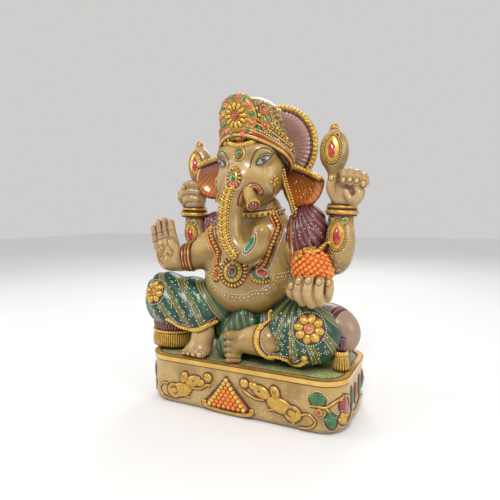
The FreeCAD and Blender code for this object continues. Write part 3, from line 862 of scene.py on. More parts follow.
def ear(name, node, centre, half, turn, root, top, slope):
    """A dished ear cut off along its top edge; its lines fan out from the root."""
    clay = Clay(np.array(centre) - 32, np.array(centre) + 32, 0.6)
    clay.ball(centre, half, turn)
    clay.ball(np.array(centre) + turn @ np.array((0, -8.5, 0)), (half[0] * 0.88, 7.5, half[2] * 0.88), turn,
              soft=2, cut=True)
    where, (x, y, z) = clay.window(clay.low, clay.low + np.array(clay.shape) * clay.step)
    clay.blend(where, (top[1] + (x - top[0]) * slope - z) / math.hypot(1, slope), 1.0, cut=True)
    obj = clay.mesh(name, EAR)
    p = places(obj)
    away = p - np.array(root)
    paint(obj, "fan", np.arctan2(away[:, 2], away[:, 0]) * 12)
    paint(obj, "depth", (top[1] - p[:, 2]) / (top[1] - centre[2] + half[2]))
    return settle(obj, "ear_paint", node)


left_ear = ear("left_ear_shell", "left_ear", (49, -3, 214), (22, 7, 25), turned(y=10, z=-12), (34, 0, 246),
               (48, 225), -0.46)
right_ear = ear("right_ear_shell", "right_ear", (-42, -5, 220), (21, 7, 20), turned(y=-38, z=14),
                (-26, 0, 250), (-46, 237), 0.34)

# ---- halo and crown --------------------------------------------------------------------------

HALO = np.array((15, 18, 249))
clay = Clay(HALO - (46, 12, 45), HALO + (46, 12, 45), 0.9)
clay.ball(HALO, (42, 8, 41))
clay.ball(HALO + (0, -9.5, 0), (36, 7, 35), soft=2, cut=True)
halo = clay.mesh("halo_disc", HALO_PAINT)
p = places(halo) - HALO
stripes(halo, np.arctan2(p[:, 2], p[:, 0]) / (2 * math.pi) * 52, 0.7)
settle(halo, "mauve_cloth", "halo")

CROWN_TURN = turned(y=8)
CROWN_TILT = np.array((-0.10, 0.66))
CROWN_EDGE = np.array((6, -42, 252))
clay = Clay((-36, -48, 206), (52, 26, 296), 0.8)
clay.ball((4, -13, 257), (31, 29, 34.5), CROWN_TURN)
clay.ball((6, -9, 238), (36, 31, 28), soft=6)
where, (x, y, z) = clay.window(clay.low, clay.low + np.array(clay.shape) * clay.step)
edge = CROWN_EDGE[2] + (x - CROWN_EDGE[0]) * CROWN_TILT[0] - (y - CROWN_EDGE[1]) * CROWN_TILT[1]
clay.blend(where, (z - edge) / math.hypot(1, *CROWN_TILT), 1.0, cut=True)
clay.ball((2, -37, 269), (19, 7, 20), turned(x=16), soft=3)
crown = settle(clay.mesh("crown_gold", EMBOSSED), "gold_paint", "crown", "crown_crest")

# ---- cloth -----------------------------------------------------------------------------------

clay = Clay((-66, -32, 46), (70, 46, 108), 1.1)
clay.ball((2, 6, 74), (62, 33, 30))
clay.below(47.5)
seat = clay.mesh("seat_drape", GREEN_CLOTH)
p = places(seat)
stripes(seat, np.arctan2(p[:, 1] - 6, p[:, 0] - 2) / (2 * math.pi) * 26, 1.2)
settle(seat, "green_cloth", "seat_cloth")

clay = Clay((-124, -54, 64), (-14, 8, 132), 0.85)
clay.limb([(-34, -4, 92, 23), (-64, -15, 98, 23), (-86, -22, 102, 20)], 8)
clay.ball((-91, -24, 102), (22, 18.5, 24), soft=6)
clay.limb([(-88, -26, 92, 19), (-70, -26, 87, 16), (-48, -26, 81, 13.5)], 8)
right_leg = clay.mesh("right_leg_drape", GREEN_CLOTH)
p = places(right_leg)
stripes(right_leg, (p[:, 0] * 0.82 + (p[:, 2] - 100) * 0.62 + 0.006 * (p[:, 2] - 100) ** 2) / 13.5, 1.3)
settle(right_leg, "green_cloth", "right_leg_cloth")

clay = Clay((8, -48, 46), (96, 14, 118), 0.85)
clay.limb([(30, 6, 92, 22), (48, -4, 88, 23), (60, -14, 82, 22)], 8)
clay.ball((54, -18, 77), (35, 26, 29), turned(y=8), soft=6)
clay.below(48)
left_leg = clay.mesh("left_leg_drape", GREEN_CLOTH)
p = places(left_leg)
fan = np.arctan2(p[:, 0] - 50, 116 - p[:, 2])
stripes(left_leg, fan * 2.9 + 0.02 * (p[:, 1] + 20), 1.3)
settle(left_leg, "green_cloth", "left_leg_cloth")

clay = Clay((-28, -46, 46), (16, -8, 102), 0.8)
clay.limb([(0, -26, 90, 8), (-8, -27, 76, 11), (-16, -28, 60, 12)], 4)
clay.limb([(6, -26, 84, 8), (8, -28, 66, 8)], 4)
clay.below(47.5)
pleats = clay.mesh("lap_pleats_drape", GREEN_CLOTH)
p = places(pleats)
stripes(pleats, (p[:, 0] + 0.28 * (p[:, 2] - 80)) / 6.5, 1.0)
settle(pleats, "green_cloth", "lap_pleats")


def shawl(name, node, centre, half, turn, gather, count):
    """A shoulder shawl whose pleats fan out from where it is gathered."""
    clay = Clay(np.array(centre) - 32, np.array(centre) + 32, 0.8)
    clay.ball(centre, half, turn)
    obj = clay.mesh(name, MAUVE_CLOTH)
    away = places(obj) - np.array(gather)
    stripes(obj, np.arctan2(away[:, 0], -away[:, 2]) / math.pi * count, 1.2)
    return settle(obj, "mauve_cloth", node)


left_shawl = shawl("left_shawl_drape", "left_shawl", (53, -2, 164), (20, 18, 29), turned(y=6),
                   (40, -16, 208), 30)
right_shawl = shawl("right_shawl_drape", "right_shawl", (-41, 0, 166), (17, 17.5, 22), turned(y=-10),
                    (-34, -10, 200), 22)

clay = Clay((28, -6, 46), (106, 46, 102), 1.0)
clay.ball((66, 20, 72), (34, 22, 27), turned(z=-12))
clay.below(48)
bolster = clay.mesh("bolster_cushion", BOLSTER_PAINT)
p = places(bolster)
paint(bolster, "stripe", np.clip((p[:, 0] * 0.9 - p[:, 1] * 0.45 - 46) / 26, 0.1, 0.97))
settle(bolster, "mauve_cloth", "bolster")

# ---- feet ------------------------------------------------------------------------------------

clay = Clay((-66, -48, 44), (-28, -10, 92), 0.55)
clay.limb([(-46, -26, 78, 11), (-45, -28, 66, 11.5), (-46, -31, 56, 11)], 3)
clay.ball((-47, -34, 54), (13, 10, 7), soft=4)
for k, (x, r) in enumerate(((-57, 3.4), (-51.5, 3.8), (-45.5, 4.2), (-39, 4.8))):
    clay.limb([(x + 1, -34, 54, r + 0.6), (x, -42.5 + abs(k - 1.5) * 0.6, 51.6, r)], 1.0)
clay.below(47.6)
right_foot = settle(clay.mesh("right_foot_stone", ROSE), "carved_stone", "right_foot")

clay = Clay((-22, -50, 46), (44, -10, 88), 0.55)
clay.limb([(26, -28, 70, 16), (10, -32, 69, 13), (-2, -34, 66, 9)], 4)
clay.ball((-5, -36, 62), (7, 8, 13), soft=4)
for z, r in ((74, 4.4), (67, 3.8), (61, 3.5), (55.5, 3.2), (50.6, 3.0)):
    clay.limb([(-2, -37, z - 1, r + 0.5), (-8, -43, z, r)], 0.9)
clay.below(47.6)
left_foot = settle(clay.mesh("left_foot_stone", STONE), "carved_stone", "left_foot")

# ---- ornament help ---------------------------------------------------------------------------

def path_on(skin, points, outward=FRONT, pitch=0.8, closed=False, lead=14):
    """A smooth path through guide points, dropped onto a surface against the outward side."""
    path = spaced(spline(points, 10, closed), pitch, closed)
    out = unit(outward)
    found = [skin.drop(p + lead * out, -out, 30) or skin.nearest(p) for p in path]
    return np.array([f[0] for f in found]), np.array([f[1] for f in found])


def every(found, pitch, closed=False):
    """Points at an even pitch along a path found on a surface."""
    both = spaced(np.hstack(found), pitch, closed)
    return both[:, :3], both[:, 3:]


def dotted(trim, found, pitch, radius, material="white", shift=0.0, closed=False):
    """A row of small domes beside a path."""
    points, normals = every(found, pitch, closed)
    if shift:
        ahead = np.gradient(points, axis=0)
        side = np.cross(normals, ahead)
        side /= np.maximum(np.linalg.norm(side, axis=1, keepdims=True), 1e-9)
        points = points + side * shift
    trim.beads(points, normals, radius, material, height=radius * 0.8, sides=6)


def gem(trim, chart, centre, half, material="red", turn=0.0, point=0.0, rim=True, height=1.6):
    """A polished stone in a thin gold collet."""
    if rim:
        trim.cushion(chart, oval(half[0] + 1.3, half[1] + 1.3, centre, 20, turn, point), 0.8, "line",
                     edge=0.8)
        trim.cushion(chart, oval(half[0] + 0.9, half[1] + 0.9, centre, 20, turn, point), 1.2, "gold",
                     edge=0.8)
    trim.cushion(chart, oval(*half, centre, 20, turn, point), height, material)


def beaded(trim, chart, centre, half, turn=0.0, point=0.0, size=1.25, material="gold", lift=0.7):
    """A ring of gold beads on a dark ground round an oval."""
    ring = np.array(oval(*half, centre, 60, turn, point))
    points, normals = chart.lay(np.vstack([ring, ring[:1]]))
    trim.ribbon(points[:-1], normals[:-1], size * 1.25, 0.5, "line", closed=True)
    points, normals = every((points + normals * lift, normals), size * 1.9)
    trim.beads(points[:-1], normals[:-1], size, material, height=size * 0.9, sides=8)


def flower(trim, chart, radius, count, stone, phase=0.0, hub=0.36, centre_material="rose"):
    """A flower of rounded gold petals on a dark disc, edged with white dots."""
    trim.cushion(chart, oval(radius * 1.02, radius * 1.02, count=36), 0.9, "line", edge=0.9)
    for outline in petals(count, radius * 0.68, radius * 0.34, radius * 0.29, phase):
        trim.cushion(chart, outline, 2.6, "gold")
    for outline in petals(count, radius * 0.68, radius * 0.17, radius * 0.10, phase):
        trim.cushion(chart, outline, 2.9, "yellow", lift=0.2)
    trim.cushion(chart, oval(radius * hub, radius * hub), 2.6, "gold")
    gem(trim, chart, (0, 0), (stone, stone), centre_material, rim=False, height=3.6)
    points, normals = chart.lay(oval(radius * 1.14, radius * 1.14, count=int(radius * 3.4)))
    trim.beads(points, normals, 0.55, "white", sides=6)


def sprinkle(trim, chart, places, material="white", radius=0.55, rosette=False):
    """Scattered painted dots, or little four-petalled rosettes."""
    for k, (a, b) in enumerate(places):
        point, normal = chart.at(a, b)
        trim.bead(point, normal, radius, "yellow" if rosette else material, height=radius * 0.7, sides=6)
        if rosette:
            for da, db in ((1.5, 0.3), (-0.3, 1.5), (-1.5, -0.3), (0.3, -1.5)):
                point, normal = chart.at(a + da, b + db)
                trim.bead(point, normal, radius * 0.85, material, height=radius * 0.6, sides=6)


# ---- plinth reliefs --------------------------------------------------------------------------

block = Skin(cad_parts["plinth_block"])
front = Chart(block, (0, -48, 0))
trim = Trim(stack_of("gold", "line", "yellow", "copper", "black"))


def mouse_relief(side, body, head, haunch, snout, ball, tail, paw, ear_at, back):
    """A reclining mouse in low relief that holds out a sweet; side is the way it faces."""
    def pad(centre, half, turn, height):
        """A gold pad over a slightly larger dark one."""
        trim.cushion(front, oval(half[0] + 0.9, half[1] + 0.9, centre, 24, turn), 0.9, "line", edge=0.9)
        trim.cushion(front, oval(*half, centre, 24, turn), height, "gold")

    def cord(points, width):
        """A gold cord along a curve, edged with dark lines."""
        found = front.lay(spaced(spline(points, 8), 0.9))
        trim.outlined(*found, width, width * 1.1, "gold", "line")
    cord(tail, 1.1)
    cord([back, (body[0] - side * 2, body[1] - 4), (body[0] + side * 10, body[1] - 6)], 1.2)
    pad(haunch, (8, 7.4), 0, 2.4)
    pad(body, (12.5, 6.8), side * 14, 2.6)
    pad(head, (9.2, 5.4), side * 20, 3.0)
    trim.cushion(front, oval(4.6, 3.6, snout, 20, side * 12), 2.8, "gold")
    cord(paw, 1.3)
    pad(ear_at, (4.2, 6.0), -side * 24, 3.2)
    trim.cushion(front, oval(2.4, 3.9, ear_at, 18, -side * 24), 3.6, "copper", lift=0.2)
    pad(ball, (4.4, 4.4), 0, 3.4)
    gaze = (head[0] + side * 1.5, head[1] + 1.0)
    trim.cushion(front, oval(1.7, 1.0, gaze, 14, side * 10), 3.6, "line", lift=0.5)
    curl = front.lay(spaced(spline([(haunch[0] - side * 4, haunch[1] + 3),
                                    (haunch[0] + side * 2, haunch[1] + 4.5),
                                    (haunch[0] + side * 5, haunch[1]),
                                    (haunch[0] + side, haunch[1] - 2.5)], 8), 0.7))
    trim.ribbon(curl[0] + curl[1] * 2.3, curl[1], 0.4, 0.5, "line")


mouse_relief(1, (-58, 16), (-44, 27), (-66, 14), (-36, 26.5), (-27.5, 33),
             [(-73, 20), (-80, 19), (-84, 13), (-80, 7), (-73, 5)],
             [(-46, 20), (-36, 21), (-30, 25), (-25, 26)], (-54, 29), (-66, 7))
mouse_relief(-1, (44, 20), (27, 29), (56, 15), (19, 33), (10.5, 34),
             [(62, 15), (70, 17), (76, 12), (72, 6), (62, 4)],
             [(30, 22), (20, 22), (13, 25), (9, 28)], (40, 31), (58, 6))
settle(trim.build("mice_relief"), "gold_paint", "right_mouse", "left_mouse")

trim = Trim(stack_of("gold", "line", "orange", "yellow"))
trim.cushion(front, [(-33, 9), (-8, 38), (18, 9), (-8, 6)], 1.2, "line", edge=0.9)
trim.cushion(front, [(-30, 10), (-8, 35), (15, 10), (-8, 7.5)], 1.6, "orange")
for row in range(8):
    count = 8 - row
    for j in range(count):
        a, b = -8 + (j - (count - 1) / 2) * 5.0 * (1 - row * 0.01), 9.2 + row * 3.5
        point, normal = front.at(a, b)
        edge = j in (0, count - 1)
        trim.bead(point + normal * 0.9, normal, 2.35, "yellow" if edge else "orange", height=2.5, sides=12)
found = front.lay(spaced(spline([(-33, 10), (-30, 6), (-16, 4.2), (0, 3.8), (14, 5.4), (19, 9)], 10), 0.9))
trim.outlined(*found, 2.1, 2.2, "gold", "line")
for x in (-31.5, 17.5):
    point, normal = front.at(x, 9.5)
    trim.bead(point, normal, 2.6, "gold", height=2.4, sides=12)
settle(trim.build("sweets_relief"), "orange_paint", "plinth_sweets", "sweet_dish")

def plinth_line(half_x, half_y, corner, height, count=14):
    """A closed rounded rectangle round the plinth, with its outward directions."""
    points, outs = [], []
    for quarter, (sx, sy) in enumerate(((1, 1), (-1, 1), (-1, -1), (1, -1))):
        for t in np.linspace(0, math.pi / 2, count):
            a = quarter * math.pi / 2 + t
            out = np.array((math.cos(a), math.sin(a), 0))
            points.append(np.array((sx * (half_x - corner), sy * (half_y - corner), height)) + out * corner)
            outs.append(out)
    path = spaced(np.hstack([points, outs]), 1.5, True)
    return path[:, :3], path[:, 3:]


trim = Trim(stack_of("line", "yellow"))
for half_x, half_y, corner, height in ((99.2, 48.2, 23.2, 42.4), (99.9, 48.9, 23.9, 47.6)):
    trim.ribbon(*plinth_line(half_x, half_y, corner, height), 0.4, 0.35, "line", closed=True)
inner = plinth_line(94.6, 43.6, 18.6, 47.9)
trim.ribbon(inner[0], np.repeat([UP], len(inner[0]), 0).astype(float), 0.6, 0.5, "line", closed=True)
settle(trim.build("rim_lines"), "gold_paint")

trim = Trim(stack_of("gold", "line", "leaf", "red", "white", "dark_red"))


def leaf_relief(chart, centre, half, turn, lobes=4, material="leaf"):
    """A lobed leaf of enamel with dark edges and white dots."""
    c, s = math.cos(math.radians(turn)), math.sin(math.radians(turn))
    trim.cushion(chart, oval(half[0] + 0.9, half[1] + 0.9, centre, 24, turn, 0.5), 0.9, "line", edge=0.9)
    trim.cushion(chart, oval(*half, centre, 24, turn, 0.5), 1.9, material)
    for k in range(lobes):
        t = math.radians(-75 + 150 * k / max(lobes - 1, 1))
        a, b = half[0] * 0.72 * math.sin(t), half[1] * 0.72 * math.cos(t)
        spot = (centre[0] + c * a - s * b, centre[1] + s * a + c * b)
        trim.cushion(chart, oval(half[0] * 0.40, half[1] * 0.44, spot, 14, turn - math.degrees(t)), 2.2,
                     material)
    points, normals = chart.lay(oval(half[0] + 2.0, half[1] + 2.0, centre, 26, turn, 0.5))
    trim.beads(points, normals, 0.45, "white", sides=6)


def vine(chart, points, width=1.3):
    """A gold stem along points on a wall, edged with dark lines."""
    found = chart.lay(spaced(spline(points, 8), 0.9))
    trim.outlined(*found, width, width, "gold", "line")


corner = Chart(block, (82, -42, 0), (0.35, -0.94, 0))
leaf_relief(corner, (-6, 31), (6.5, 5.5), 0)
leaf_relief(corner, (5, 14), (4.6, 7.5), 12, 3)
gem(trim, corner, (-5, 20.5), (2.3, 2.3), "red")
vine(corner, [(-12, 25), (-6, 25.5), (0, 25), (6, 28), (12, 31), (17, 28), (17, 22), (13, 21)])
vine(corner, [(0, 25), (4, 21), (5, 17)])
sidewall = Chart(block, (98, 0, 0), (1, 0, 0))
turnwall = Chart(block, (92, -38, 0), (0.8, -0.6, 0))
vine(turnwall, [(0, 31), (6, 33), (12, 30), (13, 24)])
leaf_relief(turnwall, (4, 14), (4.5, 6), 20, 2, "gold")
for place, half, tone in (((-35, 26), (4.4, 9.0), "red"), ((-18, 25), (3.4, 10.5), "leaf"),
                          ((-3, 24), (4.4, 9.5), "red"),
                          ((14, 25), (3.4, 10), "leaf"), ((29, 26), (4.2, 8.5), "red")):
    trim.cushion(sidewall, oval(half[0] + 1, half[1] + 1, place, 26, 6, 0.6), 0.9, "line", edge=0.9)
    trim.cushion(sidewall, oval(*half, place, 26, 6, 0.6), 2.0, "dark_red" if tone == "red" else tone)
    trim.cushion(sidewall, oval(half[0] * 0.5, half[1] * 0.6, place, 20, 6, 0.6), 2.5, tone)
vine(sidewall, [(-40, 12), (-30, 8), (-18, 12), (-8, 8), (6, 9), (18, 12), (30, 8), (38, 12)])
left_end = Chart(block, (-93, -38, 0), (-0.62, -0.78, 0))
leaf_relief(left_end, (-1, 28), (3.6, 8), 0, 2)
gem(trim, left_end, (-6, 14), (2.4, 3.8), "dark_red")
vine(left_end, [(-8, 27), (-10, 20), (-6, 9), (0, 8)])
other_wall = Chart(block, (-98, 0, 0), (-1, 0, 0))
for a in (-26, 0, 26):
    leaf_relief(other_wall, (a, 27), (4.4, 8), 0, 3)
    gem(trim, other_wall, (a + 13, 16), (2.6, 4), "red", point=0.5)
vine(other_wall, [(-38, 14), (-26, 10), (-13, 14), (0, 10), (13, 9), (26, 12), (38, 10)])
back_wall = Chart(block, (0, 48, 0), (0, 1, 0))
for a in (-56, -28, 0, 28, 56):
    leaf_relief(back_wall, (a, 27), (5, 8), 0, 3)
    gem(trim, back_wall, (a + 14, 15), (2.6, 4), "red", point=0.5)
vine(back_wall,
     [(-72, 12), (-56, 9), (-42, 13), (-28, 9), (-14, 13), (0, 9), (14, 11), (28, 9), (42, 13), (56, 9),
      (72, 12)])
settle(trim.build("vine_relief"), "gold_paint", "vine_scrolls", "vine_leaves", "vine_buds")

trim = Trim(stack_of("white", "line", "gold"))
rng = np.random.default_rng(7)
for chart, width in ((front, 78), (back_wall, 78), (sidewall, 30), (other_wall, 30)):
    for k in range(int(width * 1.5)):
        sprinkle(trim, chart, [(rng.uniform(-width, width), rng.uniform(3, 39))], radius=0.42)
settle(trim.build("plinth_dots"), "carved_stone")

# ---- knees -----------------------------------------------------------------------------------

knee = Skin(left_leg)
other_knee = Skin(right_leg)
trim = Trim(stack_of("gold", "line", "yellow", "rose", "white", "red"))
flower(trim, Chart(knee, (68.4, -44, 89), (0.2, -0.9, 0.25)), 12.5, 8, 3.0, 10)
flower(trim, Chart(other_knee, (-92.5, -42, 108), (-0.25, -0.93, 0.25)), 11, 8, 2.8, 5, centre_material="red")
settle(trim.build("knee_flowers"), "gold_paint", "right_knee_medallion", "left_knee_medallion", "knee_gems")

trim = Trim(stack_of("white", "yellow", "gold", "line"))
knee_chart = Chart(knee, (54, -44, 77), (0.1, -1, 0.1))
for k in range(90):
    angle, away = k * 2.39996, 3.3 * math.sqrt(k)
    a, b = away * math.cos(angle), away * math.sin(angle) * 0.8
    if (a - 13) ** 2 + (b - 10) ** 2 > 230 and b > -25:
        sprinkle(trim, knee_chart, [(a, b)], radius=0.62, rosette=k % 3 == 0)
knee_chart = Chart(other_knee, (-72, -42, 98), (-0.1, -1, 0.1))
for k in range(110):
    angle, away = k * 2.39996, 3.4 * math.sqrt(k)
    a, b = away * math.cos(angle) * 1.2, away * math.sin(angle) * 0.75
    if (a + 20) ** 2 + (b - 9) ** 2 > 190 and a < 34:
        sprinkle(trim, knee_chart, [(a, b)], radius=0.62, rosette=k % 3 == 0)
settle(trim.build("cloth_dots"), "green_cloth")

# ---- hems, fringes and tassel ----------------------------------------------------------------

legs = Skin(left_leg, right_leg, pleats, right_foot, left_foot, seat)
trim = Trim(stack_of("gold", "line", "yellow", "white", "violet", "copper"))


def hem(points, width, outward=FRONT, scallop=2.7):
    """A gold border: a smooth cord inside a row of scallops, between dark lines."""
    found = path_on(legs, points, outward)
    trim.outlined(*found, width, 1.6, "gold", "line", line_width=0.6)
    beads_at = every((found[0] + smoothed(found[1]) * 1.0, found[1]), scallop)
    trim.beads(*beads_at, width * 0.62, "yellow", height=1.5, sides=10)
    dotted(trim, found, 1.9, 0.5, shift=width + 1.6)
    return found


hem([(26, -34, 95), (21, -40, 88), (20, -43, 76), (23, -44, 64), (32, -43, 55), (44, -42, 51), (56, -43, 53),
     (64, -45, 59)], 2.8)
hem([(-78, -40, 82), (-66, -43, 76), (-54, -44, 73), (-42, -43, 75), (-31, -40, 81)], 2.8)
ball_end, normal = legs.nearest((65, -45, 60))
trim.bead(ball_end, normal, 3.0, "gold", height=3.4, sides=12)


def fringe_band(centre, half, low, high, count, tone, width, flare=0.0):
    """Upright cords side by side round an upright oval wall."""
    for k in range(count):
        a = 2 * math.pi * k / count
        out = unit((math.cos(a) / half[0], math.sin(a) / half[1], 0))
        rows = []
        for t in np.linspace(0, 1, 7):
            swell = 1 + 0.05 * math.sin(math.pi * t) + flare * (1 - t)
            rows.append(np.array((centre[0] + half[0] * swell * math.cos(a),
                                  centre[1] + half[1] * swell * math.sin(a),
                                  low + (high - low) * t)))
        trim.ribbon(rows, np.repeat([out], 7, 0), width, width, tone)


settled = (-89, -11)
fringe_band(settled, (21.6, 20.8), 50, 64, 64, "gold", 1.05, 0.07)
fringe_band(settled, (22.6, 21.5), 64, 66.5, 60, "yellow", 1.25)
fringe_band(settled, (21.0, 20.2), 66.5, 80, 44, "violet", 1.7)
fringe_band((89, -15), (4.6, 4.6), 48.3, 61, 18, "gold", 1.0, 0.45)
fringe_band((89, -15), (4.9, 4.9), 61, 64.5, 16, "yellow", 1.2)
fringe_band((88.5, -13.5), (3.4, 3.4), 64.5, 76, 10, "violet", 1.2)
settle(trim.build("borders_and_fringes"), "gold_paint", "right_cuff", "left_hem", "gold_fringes")

clay = Clay((-114, -36, 46), (-62, 14, 82), 1.0)
clay.limb([(-89, -11, 54, 20.5), (-89, -11, 72, 19)], 0, smooth=0)
clay.limb([(89, -15, 50, 5)], 0, smooth=0)
clay.below(48)
under = clay.mesh("skirt_core", TRIM["violet"])
settle(under, "mauve_cloth")

# ---- nails, rings and bangles ----------------------------------------------------------------

hands = Skin(blessing, giving, raised_right, raised_left, right_foot, left_foot)
trim = Trim(stack_of("copper", "nail", "gold", "line", "yellow", "white", "red"))


def nail(tip, half, outward=FRONT, up=UP, turn=0.0):
    """A finger or toe nail with a dark edge."""
    chart = Chart(hands, tip, outward, up, turn)
    trim.cushion(chart, oval(half[0] + 0.45, half[1] + 0.45, count=18), 0.35, "line", edge=0.9)
    trim.cushion(chart, oval(*half, count=18), 0.75, "nail", edge=0.6)


for x, z, r in ((-57, 51.4, 1.7), (-51.5, 51.8, 1.9), (-45.5, 52.0, 2.2), (-39, 52.4, 2.6)):
    nail((x, -46, z), (r, r * 0.85), (0, -1, 0.25))
for z, r in ((74, 2.4), (67, 2.0), (61, 1.8), (55.5, 1.6), (50.8, 1.4)):
    nail((-10, -44, z), (r, r * 0.8), (-0.5, -0.86, 0))
for x, y, z in ((52.6, -44, 124.5), (59.4, -45, 129), (68, -45, 130), (76.5, -43, 129), (83, -38, 128)):
    nail((x, y, z), (2.2, 3.0), (0, -0.9, 0.35))
for x, y, z in ((90, -19, 213), (95.6, -19, 213), (101.2, -19, 212), (106.8, -19, 209), (79.5, -17, 215)):
    nail((x, y, z), (2.0, 2.6), (0, -1, 0.1))
for x, y, z in ((-70, -19, 212), (-74.5, -13, 214.5), (-78, -11, 206), (-77, -11, 198.5)):
    nail((x, y, z), (2.2, 2.0), (-0.5, -0.85, 0.2))


def ring_round(centre, axis, radius, wire, tone, lines=True):
    """A bangle round a wrist, with a dark line on each side."""
    axis = unit(axis)
    side = unit(np.cross(axis, (0.3, 0.9, 0.1)))
    other = np.cross(axis, side)
    angles = np.linspace(0, 2 * math.pi, 72, endpoint=False)
    out = np.cos(angles)[:, None] * side + np.sin(angles)[:, None] * other
    trim.ribbon(np.array(centre) + out * (radius - wire * 0.5), out, wire, wire * 1.3, tone, closed=True)
    if lines:
        for sign in (-1, 1):
            trim.ribbon(np.array(centre) + axis * sign * (wire + 0.4) + out * (radius - wire * 0.6), out,
                        0.6, wire * 0.9,
                        "line", closed=True)


ring_round((-68, -4, 185), (0.05, 0, 1), 12.9, 2.4, "gold")
ring_round((85.5, -4, 186), (0.05, 0, 1), 13.0, 2.4, "gold")
ring_round((85.5, -4, 190.5), (0.05, 0, 1), 12.2, 1.7, "gold")
ring_round((-67.6, -4, 190), (0.05, 0, 1), 11.8, 1.6, "gold")
ring_round((-62, -24.5, 142.5), (-1, -0.3, -0.1), 13.4, 1.5, "copper")
ring_round((-65, -25.3, 142.2), (-1, -0.3, -0.1), 13.0, 1.3, "copper")
ring_round((-59, -23.4, 142.8), (-1, -0.3, -0.1), 13.9, 1.3, "gold")
palm = Chart(hands, palm_point(0, -6, 18), lean @ np.array((0, -1, 0)), lean @ np.array((0, 0, 1)))
for points in ([(-8, 2), (-9, -5), (-5, -9), (-1, -6), (-3, -2), (-6, -3)],
               [(-8, 6), (-3, 8), (1, 5), (-1, 1), (-4, 3)],
               [(3, -2), (7, -5), (11, -3), (13, 1)]):
    found = palm.lay(spaced(spline(points, 8), 0.6))
    trim.outlined(*found, 0.75, 0.9, "gold", "line", line_width=0.3)
trim.cushion(palm, oval(2.4, 3.6, (6, 9), 18, -20, 0.7), 1.1, "copper")
for across in (-7.4, 0, 7.4):
    found = palm.lay([(across * (1 - 0.01 * k), 8 + k) for k in range(0, 24)])
    trim.ribbon(*found, 0.28, 0.3, "line")
for row, reach in ((13, 12), (20, 13)):
    for k in range(4):
        start = -13 + k * 6.9
        found = palm.lay([(start + 5.4 * t, row + (0.7 if k in (1, 2) else 0)) for t in np.linspace(0, 1, 7)])
        trim.ribbon(*found, 0.3, 0.25, "line")
settle(trim.build("nails_and_bangles"), "gold_paint", "bangles")

# ---- sweets in the hand ----------------------------------------------------------------------

trim = Trim(stack_of("orange", "gold", "line", "yellow"))
clay = Clay((42, -50, 120), (92, 0, 162), 0.8)
clay.ball((64, -25, 139), (16, 12.5, 15.5))
clay.ball((66, -24, 134), (17, 13, 9), soft=3)
mound = clay.mesh("sweets_mound", TRIM["orange"])
settle(mound, "orange_paint", "hand_sweets")
mound_skin = Skin(mound)
for k in range(150):
    lift = 1 - 2 * (k + 0.5) / 150
    a = k * 2.39996
    out = np.array((math.cos(a) * math.sqrt(1 - lift ** 2), math.sin(a) * math.sqrt(1 - lift ** 2), lift))
    if out[1] < 0.45 and lift > -0.55:
        hit = mound_skin.drop(np.array((65, -25, 137)) + out * 30, -out, 40)
        if hit:
            trim.bead(hit[0] - hit[1] * 0.4, hit[1], 2.5, "orange", height=2.6, sides=12)
settle(trim.build("sweets_heap"), "orange_paint")

# ---- arm and bud gems ------------------------------------------------------------------------

upper = Skin(body, right_bud, left_bud)
trim = Trim(stack_of("gold", "line", "red", "green", "white", "copper", "dark_red"))


def paisley(centre, outward, turn, size, curl, stone="red"):
    """A drop-shaped stone within a beaded border that ends in a curl."""
    chart = Chart(upper, centre, outward, turn=turn)
    trim.cushion(chart, oval(size * 0.62, size * 1.12, count=28, point=0.3), 0.7, "line", edge=0.9)
    trim.cushion(chart, oval(size * 0.56, size * 1.04, count=28, point=0.3), 1.0, "gold", edge=0.8)
    beaded(trim, chart, (0, 0), (size * 0.6, size * 1.08), 0, 0.3, 1.05)
    gem(trim, chart, (0, -0.4), (size * 0.27, size * 0.66), stone, point=0.75, rim=False, height=2.4)
    points, normals = chart.lay(oval(size * 0.8, size * 1.3, count=34, point=0.3))
    trim.beads(points, normals, 0.42, "white", sides=6)
    if curl:
        found = chart.lay(spaced(spline([(curl, size), (curl * 4, size + 2), (curl * 6, size - 1),
                                         (curl * 4, size - 3)], 8), 0.6))
        trim.outlined(*found, 0.9, 1.2, "gold", "line", line_width=0.35)


paisley((77.5, -9, 241), (0.1, -1, 0), 0, 11.5, 1)
paisley((-63.5, -9, 236), (-0.15, -1, 0), 8, 11.0, 0)
paisley((84.5, -17, 166), (0.1, -1, 0), 0, 12.0, 0)
paisley((-66, -16, 165), (-0.2, -1, 0), 14, 11.0, 0)
for centre in ((78.5, -15, 179), (90.5, -14, 179), (-63, -15, 177)):
    chart = Chart(upper, centre, (0.1, -1, 0), turn=20 if centre[0] < 80 else -20)
    gem(trim, chart, (0, 0), (1.9, 2.9), "green", point=0.4)
for (x, y, z), slip in (((77, 0, 260), 1), ((-63, 0, 255), -1)):
    for lift, radius, tone in ((-3.6, 4.9, "copper"), (-1.6, 3.9, "line"), (0.0, 3.6, "gold")):
        angles = np.linspace(0, 2 * math.pi, 28, endpoint=False)
        out = np.stack([np.cos(angles), np.sin(angles), np.zeros(28)], 1)
        trim.ribbon(np.array((x, y, z + lift)) + out * (radius - 1.0), out, 1.1, 1.2, tone, closed=True)
    trim.bead(np.array((x, y, z + 0.4)), (0.15 * slip, 0, 1), 3.6, "copper", height=3.9, sides=20)
settle(trim.build("arm_and_bud_gems"), "red_gem", "arm_gems")

# ---- crown work ------------------------------------------------------------------------------

